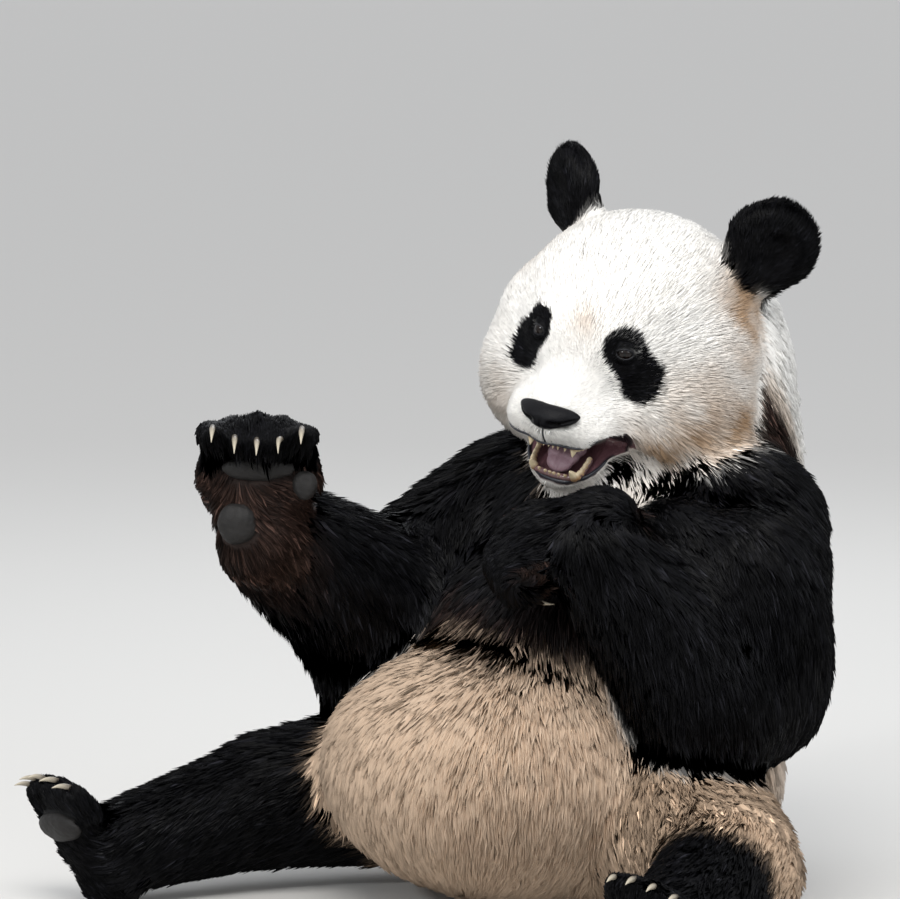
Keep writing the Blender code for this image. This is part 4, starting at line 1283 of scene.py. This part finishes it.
def fit(made, finish, slot, *nodes):
    """Gives a piece its finish and hides the solids that it stands for. The slot is not used."""
    made.data.materials.clear()
    made.data.materials.append(finish.material)
    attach(made, "root")
    if nodes:
        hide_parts(*nodes)
    return made


def eyeball(side):
    """A glass ball with the cornea's bulge, which keeps the place of each vertex before it is set."""
    bm = bmesh.new()
    bmesh.ops.create_uvsphere(bm, u_segments=40, v_segments=28, radius=EYE_SIZE)
    for vert in bm.verts:
        off_axis = math.hypot(vert.co.x, vert.co.y)
        if vert.co.z > 0:
            vert.co.z += CORNEA * max(0.0, 1.0 - (off_axis / IRIS_RADIUS) ** 2)
    made = piece("eyeball_" + side, bm)
    store(made.data, "spot", vertex_array(made.data))
    made.data.transform(EYE[side])
    return made


def lid_rim(side):
    """The rolled edge of the two lids, as one closed cord over the ball."""
    points, radii = [], []
    for i in range(LID_RIM_STEPS):
        angle = 2 * math.pi * i / LID_RIM_STEPS
        x, y = LID_OPEN[0] * math.cos(angle), LID_OPEN[1] * math.sin(angle)
        z = math.sqrt((EYE_SIZE + 0.0006) ** 2 - x * x - y * y)
        points.append(EYE[side] @ Vector((x, y, z)))
        radii.append(LID_RIM * (0.85 + 0.25 * math.sin(angle) ** 2))
    return tube("lid_rim_" + side, points, radii, closed=True)


eye_glass = Finish("eye_glass")
spot = eye_glass.held("spot", "Vector")
across = eye_glass.node("ShaderNodeVectorMath", {"operation": "MULTIPLY"}, spot, (1.0, 1.0, 0.0))
from_axis = eye_glass.node("ShaderNodeVectorMath", {"operation": "LENGTH"}, across, result="Value")
narrow = eye_glass.node(
    "ShaderNodeVectorMath", {"operation": "MULTIPLY"}, spot, (1 / PUPIL_HALF[0], 1 / PUPIL_HALF[1], 0.0)
)
in_pupil = eye_glass.node("ShaderNodeVectorMath", {"operation": "LENGTH"}, narrow, result="Value")
ring = eye_glass.node("ShaderNodeValToRGB", {"stops": IRIS}, from_axis * (0.9 / IRIS_RADIUS))
pupil = eye_glass.node("ShaderNodeMapRange", {"clamp": True}, in_pupil, 0.85, 1.10, 0.0, 1.0)
eye_glass.set(Base_Color=eye_glass.mix(pupil, PUPIL_BLACK, ring))
eye_glass.set(Roughness=0.05, Specular_IOR_Level=0.30)

lid_skin = Finish("lid_skin")
lid_skin.set(Base_Color=LID_BLACK, Roughness=0.38, Specular_IOR_Level=0.25)

for side in SIDES:
    fit(eyeball(side), eye_glass, "eye_gloss", "eye_" + side)
    fit(lid_rim(side), lid_skin, "nose_skin")

# ---- The nose
# A broad pad of bare black skin, finely cobbled and a little moist, with two comma-shaped nostrils and
# a groove down its middle that goes on into the upper lip.

NOSE_NARROW = 0.40  # its breadth at the foot, as a share of its breadth above
NOSE_CURVE = (0.85, 0.80)  # how full its outline is across and up, where 1 is round
NOSE_BEND = 0.0150  # how far its sides are bent back round the muzzle
NOSE_BOW = 0.0045  # how far its top and foot lie behind its middle
NOSE_THICK = 0.0120
NOSTRIL = (0.0165, -0.0035)  # beside the middle, and above the nose's own middle
NOSTRIL_HALF, NOSTRIL_DEPTH = (0.0056, 0.0040), 0.0080
SLIT_RISE, SLIT_HALF, SLIT_DEPTH = 0.30, 0.0016, 0.0034  # the comma's tail, which runs out to the side
WING_HALF, WING_ABOVE, WING_HEIGHT = (0.0095, 0.0040), 0.0068, 0.0014  # the swelling over a nostril
GROOVE_HALF, GROOVE_DEPTH = 0.0016, 0.0016
NOSE_DARK, NOSE_LIGHT = (0.0030, 0.0030, 0.0038), (0.0070, 0.0070, 0.0085)
# The nostrils' hollows are painted near black, as painted shade in the holes.
NOSTRIL_SHADE = (0.003, 0.0025, 0.0025)


def nose_pad():
    """A wide pad, flat above and narrow below, that is bent round the muzzle's end."""
    (_, front), (right, left), (low, high) = NOSE_SPAN
    half, tall, middle = (left - right) / 2, high - low, (low + high) / 2
    bm = bmesh.new()
    bmesh.ops.create_icosphere(bm, subdivisions=7, radius=1.0)
    for vert in bm.verts:
        x, y, z = vert.co
        foot = float(step(0.35, -1.0, z))
        across = math.copysign(abs(x) ** NOSE_CURVE[0], x) * (1.0 - (1.0 - NOSE_NARROW) * foot)
        height = math.copysign(abs(z) ** NOSE_CURVE[1], z)
        ahead = front - NOSE_BEND * across**2 - NOSE_BOW * height**2 - NOSE_THICK * (1.0 + y)
        vert.co = head_point(ahead, half * across, middle + tall / 2 * height)
    bmesh.ops.recalc_face_normals(bm, faces=bm.faces)
    made = piece("nose_pad", bm)
    carve_nostrils(made.data, front, half, middle)
    return made


def carve_nostrils(mesh, front, half, middle):
    """Presses the nostrils and the groove into the pad's face, and keeps how deep each place is, for the
    painted shade in the nostrils.
    """
    points = vertex_array(mesh)
    ahead, beside, up = in_head(points)
    beside, up = np.abs(beside), up - middle
    at, above = NOSTRIL
    hole = hump(beside, at, NOSTRIL_HALF[0]) * hump(up, above, NOSTRIL_HALF[1])
    slit = step(at - 0.002, at + 0.003, beside) * step(half * 0.93, half * 0.80, beside)
    slit *= hump(up, above + 0.0010 + (beside - at) * SLIT_RISE, SLIT_HALF)
    wing = hump(beside, at, WING_HALF[0]) * hump(up, above + WING_ABOVE, WING_HALF[1])
    groove = hump(beside, 0.0, GROOVE_HALF) * step(0.004, -0.004, up)
    push = WING_HEIGHT * wing - NOSTRIL_DEPTH * hole - SLIT_DEPTH * slit - GROOVE_DEPTH * groove
    side_back = front - NOSE_BEND - NOSE_THICK * 0.5
    face = step(side_back - NOSE_THICK * 0.8, side_back, ahead)
    move_vertices(mesh, points + np.array(head_way(1, 0, 0)) * (push * face)[:, None])
    store(mesh, "hollow", np.clip(hole * 1.3 + slit * 0.8, 0.0, 1.0))


nose_skin = Finish("nose_skin")
mottle = nose_skin.noise(160.0)
nose_colour = nose_skin.mix(mottle, NOSE_DARK, NOSE_LIGHT)
# The hollows of the nostrils take the painted shade.
nose_skin.set(Base_Color=nose_skin.mix(nose_skin.held("hollow"), nose_colour, NOSTRIL_SHADE))
nose_skin.set(Roughness=0.34 + 0.20 * mottle, Specular_IOR_Level=0.10)
nose_skin.bump(nose_skin.cells(620.0), 0.40, 0.0006)
fit(nose_pad(), nose_skin, "nose_skin", "nose")

# ---- Lips
# The bare dark edges of the lips: the lower one runs round the jaw from corner to corner, the upper
# one under the muzzle, and a furrow joins it to the nose.

LIP_THICK = {"lower": 0.0027, "upper": 0.0017}
LIP_SEARCH = 0.030  # above and below the plane of a lip
LIP_ENDS = 80.0  # degrees from the middle
FURROW_THICK = 0.0009
WET_BLACK = (0.020, 0.021, 0.029)


def smoothed(points, times):
    """A line of points with its corners eased, and its ends where they were."""
    points = np.array(points)
    for _ in range(times):
        points[1:-1] = 0.5 * points[1:-1] + 0.25 * (points[:-2] + points[2:])
    return points


def lip(name, matrix, reach, node, way, thick):
    """A lip along the edge of the jaw or the muzzle, just inside its outline."""
    tree = solid_tree(node)
    up = matrix.to_3x3() @ Vector((0, 0, way))
    line = []
    for angle, edge in zip(LIP_TURNS, reach):
        out = Vector((math.sin(angle), -math.cos(angle), 0.0))
        start = matrix @ (Vector((0, -LIP_CENTRE, LIP_SEARCH * way)) + out * (edge - thick * 1.25))
        hit = tree.ray_cast(start, -up, 2 * LIP_SEARCH)[0]
        if hit and abs(math.degrees(angle)) < LIP_ENDS:
            line.append(hit - up * thick * 0.45)
    line = smoothed(line, 5)
    share = np.linspace(-1.0, 1.0, len(line))
    return tube(name, line, thick * (1.0 - 0.45 * np.abs(share) ** 3))


def furrow():
    """The groove from the nose to the middle of the upper lip."""
    line = []
    bottom = NOSE_SPAN[2][0]
    lip_edge = MOUTH_CORNER[1] + 0.004
    for up in np.linspace(bottom + 0.004, lip_edge, 12):
        start = head_point(0.30, 0, up)
        hit = ground.tree.ray_cast(start, head_way(-1, 0, 0), 0.2)[0]
        if hit:
            line.append(hit + head_way(1, 0, 0) * 0.0008)
    return tube("furrow", smoothed(line, 3), np.full(len(line), FURROW_THICK))


wet_skin = Finish("wet_skin")
wet_skin.set(Base_Color=WET_BLACK, Roughness=0.30)
wet_skin.bump(wet_skin.noise(900.0, 2.0), 0.25, 0.0006)
fit(lip("lower_lip", JAW, LOWER_REACH, "lower_jaw", 1.0, LIP_THICK["lower"]), wet_skin, "nose_skin")
fit(lip("upper_lip", ROOF, UPPER_REACH, "head", -1.0, LIP_THICK["upper"]), wet_skin, "nose_skin")
fit(furrow(), wet_skin, "nose_skin")

# ---- The mouth
# Mauve gums and palate, ivory teeth worn and stained brown at the gum, and a broad tongue with a
# furrow down its middle, all moist.

TOOTH_GRAIN = 0.00085
LOWER_ROW, UPPER_ROW = (0.082, 0.034), (0.078, 0.036)  # how far ahead a row reaches, and half its width
ROW_BACK = 0.60  # where a row begins, as a share of its reach
ROW_SQUARENESS = 2.2  # its sides are nearly straight, and its front is broad
ROW_STEPS = 26
CHEEK_TEETH, CANINES = (1, 3, 5, 7, 19, 21, 23, 25), (9, 17)  # places along a row, in those steps
FRONT_TEETH = (10.9, 12.0, 12.7, 13.3, 14.0, 15.1)
TONGUE = (  # from its root to its tip: how far back, half as wide, how high and how thick each mass is
    (-0.014, 0.019, -0.006, 0.010),
    (-0.026, 0.022, -0.001, 0.010),
    (-0.040, 0.023, 0.001, 0.010),
    (-0.053, 0.021, 0.003, 0.009),
    (-0.063, 0.017, 0.003, 0.008),
)
TONGUE_GRAIN = 0.0013
ENAMEL_STAINED, ENAMEL = (0.36, 0.21, 0.10), (0.76, 0.64, 0.43)
GUM_DARK, GUM_PALE = (0.085, 0.045, 0.050), (0.22, 0.125, 0.120)
TONGUE_DARK, TONGUE_PALE = (0.24, 0.145, 0.175), (0.36, 0.235, 0.270)


def row_point(matrix, row, share):
    """A place along a row of teeth, from the left end at 0 to the right end at 1."""
    reach, half = row
    angle = math.pi * share
    along = reach * (ROW_BACK + (1.0 - ROW_BACK) * math.sin(angle))
    across = half * math.tanh(ROW_SQUARENESS * math.cos(angle)) / math.tanh(ROW_SQUARENESS)
    return matrix @ Vector((across, -along, 0))


def tooth(bm, root, up, forward, length, thick, lean=0.0):
    """A tooth as a row of shrinking round masses that lean forward a little."""
    count = 9
    for i in range(count):
        share = i / (count - 1)
        size = thick * (1.0 - share**1.6) + 0.0007
        place = root + up * (length * share) + forward * (lean * share**2)
        bmesh.ops.create_icosphere(bm, subdivisions=2, radius=size, matrix=Matrix.Translation(place))


def teeth(name, matrix, row, way, canine, crown):
    """One row: cheek teeth of three cusps, a long canine on each side, and small teeth in front."""
    up = (matrix.to_3x3() @ Vector((0, 0, way))).normalized()
    forward = (matrix.to_3x3() @ Vector((0, -1, 0))).normalized()
    bm = bmesh.new()
    for i in CHEEK_TEETH:
        place = row_point(matrix, row, i / ROW_STEPS)
        for cusp in (-1, 0, 1):
            height = crown * (0.90 - 0.14 * abs(cusp))
            tooth(bm, place + forward * (0.0026 * cusp), up, forward, height, 0.0030)
    for i in CANINES:
        tooth(bm, row_point(matrix, row, i / ROW_STEPS), up, forward, canine, 0.0047, lean=0.0030)
    for i in FRONT_TEETH:
        tooth(bm, row_point(matrix, row, i / ROW_STEPS), up, forward, crown, 0.0021, lean=0.0015)
    made = fuse(piece(name, bm), TOOTH_GRAIN, 2)
    inverse = matrix.inverted()
    rise = [way * (inverse @ vert.co).z for vert in made.data.vertices]
    store(made.data, "rise", np.array(rise) * 1000.0)
    return made


def gum(name, matrix, row, thick):
    """The gum along a row, which swells a little round each tooth."""
    shares = np.linspace(0.0, 1.0, 40)
    line = [row_point(matrix, row, share) for share in shares]
    return tube(name, line, thick * (1.0 + 0.15 * np.sin(shares * math.pi * 17) ** 2))


def tongue():
    """Broad overlapping masses made one, with a furrow pressed in and the edges raised."""
    bm = bmesh.new()
    for along, half, up, thick in TONGUE:
        place = JAW @ Matrix.Translation((0, along, up)) @ Matrix.Diagonal((half, 0.014, thick, 1.0))
        bmesh.ops.create_icosphere(bm, subdivisions=3, radius=1.0, matrix=place)
    made = fuse(piece("tongue_flesh", bm), TONGUE_GRAIN, 4)
    p = local(vertex_array(made.data), JAW)
    p[:, 2] -= 0.0022 * hump(p[:, 0], 0.0, 0.0028) * step(-0.002, 0.004, p[:, 2])
    p[:, 2] += 0.0016 * step(0.006, 0.018, np.abs(p[:, 0])) * step(-0.002, 0.004, p[:, 2])
    move_vertices(made.data, world(p, JAW))
    return made


enamel = Finish("enamel")
rise = enamel.held("rise")
stain = enamel.noise(260.0)
at_gum = enamel.node("ShaderNodeMapRange", {"clamp": True}, rise + stain * 3.0, 3.0, 9.0, 0.0, 1.0)
enamel.set(Base_Color=enamel.mix(at_gum, ENAMEL_STAINED, ENAMEL), Roughness=0.28)
enamel.bump(stain, 0.15, 0.0005)

gum_flesh = Finish("gum_flesh")
blush = gum_flesh.noise(120.0)
gum_flesh.set(Base_Color=gum_flesh.mix(blush, GUM_DARK, GUM_PALE), Roughness=0.26)
gum_flesh.bump(blush, 0.3, 0.0008)

tongue_skin = Finish("tongue_skin")
tinge = tongue_skin.noise(70.0)
tongue_skin.set(Base_Color=tongue_skin.mix(tinge, TONGUE_DARK, TONGUE_PALE), Roughness=0.34)
tongue_skin.bump(tongue_skin.cells(900.0), 0.5, 0.0006)

lower_place = JAW @ Matrix.Translation((0, 0, 0.0036))
upper_place = ROOF @ Matrix.Translation((0, 0.001, 0.0008))
fit(teeth("teeth_below", lower_place, LOWER_ROW, 1.0, 0.0180, 0.0082), enamel, "tooth_ivory", "lower_teeth")
fit(teeth("teeth_above", upper_place, UPPER_ROW, -1.0, 0.0150, 0.0100), enamel, "tooth_ivory", "upper_teeth")
fit(gum("gum_below", lower_place, LOWER_ROW, 0.0036), gum_flesh, "tongue_flesh")
fit(gum("gum_above", upper_place, UPPER_ROW, 0.0034), gum_flesh, "tongue_flesh")
fit(tongue(), tongue_skin, "tongue_flesh", "tongue")

# ---- Claws
# Curved, tapering horn, dull ivory with a darker root. One grows from the end of each digit, and its
# root is carried back into the digit.

CLAW_STEPS = 12
CLAW_HIDDEN = 0.010  # the length of horn inside the digit
CLAW_THICK = 0.0031
CLAW_BASE, CLAW_MIDDLE = 0.86, (0.35, 0.72)  # where they are read, as shares of the way from its tip
CLAW_CROWD = 0.009  # fewer corners lie within this of its tip than of its base
HORN_PALE, HORN_DARK = (0.44, 0.39, 0.30), (0.060, 0.046, 0.036)


def claw(node):
    """A smooth claw over the solid one, with its root carried back into the digit."""
    points = solid_points(node)
    apart = np.linalg.norm(points[:, None] - points[None], axis=2)
    ends = np.unravel_index(apart.argmax(), apart.shape)
    beside = [(apart[end] < CLAW_CROWD).sum() for end in ends]
    tip = points[ends[int(np.argmin(beside))]]
    away = np.linalg.norm(points - tip, axis=1)
    length = away.max()
    base = points[away > length * CLAW_BASE].mean(0)
    middle_band = (away > length * CLAW_MIDDLE[0]) & (away < length * CLAW_MIDDLE[1])
    middle = points[middle_band].mean(0) if middle_band.any() else (base + tip) / 2
    bend = 2 * middle - 0.5 * (base + tip)
    line = [base + (base - bend) / np.linalg.norm(base - bend) * CLAW_HIDDEN]
    radii = [CLAW_THICK]
    for i in range(CLAW_STEPS + 1):
        t = i / CLAW_STEPS
        line.append((1 - t) ** 2 * base + 2 * t * (1 - t) * bend + t * t * tip)
        radii.append(CLAW_THICK * (1 - t**1.5) + 0.0003)
    made = tube("horn_" + node, line, radii)
    along = np.linalg.norm(vertex_array(made.data) - tip, axis=1) / length
    store(made.data, "root", np.clip(along, 0.0, 1.0))
    return made


horn = Finish("horn")
fibre = horn.noise(340.0)
root_share = horn.held("root")
horn_colour = horn.mix(root_share * root_share * (0.6 + 0.5 * fibre), HORN_PALE, HORN_DARK)
horn.set(Base_Color=horn_colour, Roughness=0.34)
horn.bump(fibre, 0.15, 0.0004)
for node in sorted(frame["nodes"]):
    if "_claw_" in node:
        fit(claw(node), horn, "claw_horn", node)

# ---- Pads
# Bare, thick, cobbled skin, dark grey: a strip across each palm, round pads at the thumb and wrist,
# and a strip across the ball of each hind foot.

PAD_SINK = 0.004  # how far a pad reaches down into the hide's coat
PAD_DARK, PAD_WORN = (0.007, 0.0065, 0.0065), (0.018, 0.0165, 0.0155)


def pad(name):
    """A low dome with a cobbled, uneven face."""
    matrix, middle, radii = PADS[name]
    bm = bmesh.new()
    bmesh.ops.create_icosphere(bm, subdivisions=5, radius=1.0)
    for vert in bm.verts:
        vert.co.z *= 1.0 - 0.16 * max(0.0, vert.co.z) ** 2
    size = Matrix.Diagonal((*radii[:2], radii[2] + PAD_SINK * 0.6, 1.0))
    bm.transform(matrix @ Matrix.Translation(Vector(middle) - Vector((0, 0, PAD_SINK))) @ size)
    made = piece(name + "_skin", bm)
    points = vertex_array(made.data)
    shift = 0.0007 * ripple(points, 0.010, 6.0) + 0.0003 * ripple(points, 0.003, 7.0)
    move_vertices(made.data, points + normal_array(made.data) * shift[:, None])
    return made


pad_skin = Finish("pad_skin")
wear = pad_skin.noise(90.0, 4.0)
pad_skin.set(Base_Color=pad_skin.mix(wear, PAD_DARK, PAD_WORN))
pad_skin.set(Roughness=0.48 + 0.25 * wear, Specular_IOR_Level=0.25)
pad_skin.bump(pad_skin.cells(430.0, "DISTANCE_TO_EDGE"), 0.5, 0.0008)
for name in PADS:
    fit(pad(name), pad_skin, "pad_skin", name)

# ---- The studio
# A plain pale floor under a dome of soft light, with four lamps above and round the panda, and the
# camera, which stands ahead and to its left, a little above its head's height.

AZIMUTH, ELEVATION = 48.0, 7.0  # degrees: the camera's place round the panda
DISTANCE = 6.0
VIEW_WIDTH = 1.0714  # metres across the view, at the panda
AIM = (-0.1310, 0.5279)  # the middle of the view, aside from the origin and above it
FILM = 36.0  # millimetres
BOARD = (0.60, 0.59, 0.57)
HORIZON, OVERHEAD = (0.66, 0.67, 0.68), (0.94, 0.96, 1.00)
LIT_HEIGHT = 0.45  # the lamps are turned to the middle of the panda
LAMPS = {  # place, breadth, watts and colour of each
    "key": ((1.4, -1.8, 3.4), 2.2, 90.0, (1.0, 0.98, 0.95)),
    "front": ((0.3, -3.0, 1.75), 0.45, 24.0, (0.95, 0.98, 1.0)),
    "side": ((3.2, 0.6, 1.8), 1.8, 26.0, (0.90, 0.95, 1.0)),
    "rim": ((-1.8, 2.0, 2.4), 1.6, 20.0, (0.92, 0.96, 1.0)),
}


def set_up(obj, place, way):
    """Sets a camera or lamp at its place, turned to look that way."""
    obj.location = place
    obj.rotation_mode = "QUATERNION"
    obj.rotation_quaternion = way.to_track_quat("-Z", "Y")


def set_camera():
    turn, rise = math.radians(AZIMUTH), math.radians(ELEVATION)
    right = Vector((math.cos(turn), math.sin(turn), 0))
    back = Vector((math.sin(turn) * math.cos(rise), -math.cos(turn) * math.cos(rise), math.sin(rise)))
    data = bpy.data.cameras.new("camera")
    data.sensor_width = FILM
    data.lens = FILM * DISTANCE / VIEW_WIDTH
    camera = in_scene("camera", data)
    set_up(camera, right * AIM[0] + back.cross(right) * AIM[1] + back * DISTANCE, -back)
    bpy.context.scene.camera = camera


def floor():
    """A sheet of pale board that reaches far past the view."""
    made = Finish("studio_board")
    made.set(Base_Color=BOARD, Roughness=0.9)
    bm = bmesh.new()
    bmesh.ops.create_grid(bm, x_segments=1, y_segments=1, size=60.0)
    board = piece("floor", bm, smooth=False)
    board.data.materials.append(made.material)


def light(name, place, size, power, colour):
    """A round, soft lamp, turned to the panda."""
    data = bpy.data.lights.new(name, "AREA")
    data.shape = "DISK"
    data.size = size
    data.energy = power
    data.color = colour
    set_up(in_scene(name, data), place, Vector((0, 0, LIT_HEIGHT)) - Vector(place))


def set_world():
    """A soft dome of light, brightest overhead."""
    world = bpy.data.worlds.new("studio")
    world.use_nodes = True
    nodes, links = world.node_tree.nodes, world.node_tree.links
    way = nodes.new("ShaderNodeTexCoord")
    height = nodes.new("ShaderNodeSeparateXYZ")
    ramp = nodes.new("ShaderNodeValToRGB")
    ramp.color_ramp.elements[0].color = (*HORIZON, 1.0)
    ramp.color_ramp.elements[1].color = (*OVERHEAD, 1.0)
    links.new(way.outputs["Generated"], height.inputs[0])
    links.new(height.outputs["Z"], ramp.inputs[0])
    links.new(ramp.outputs[0], nodes["Background"].inputs["Color"])
    bpy.context.scene.world = world
    bpy.context.scene.view_settings.view_transform = "Standard"


floor()
set_world()
for name, (place, size, power, colour) in LAMPS.items():
    light(name, place, size, power, colour)
set_camera()
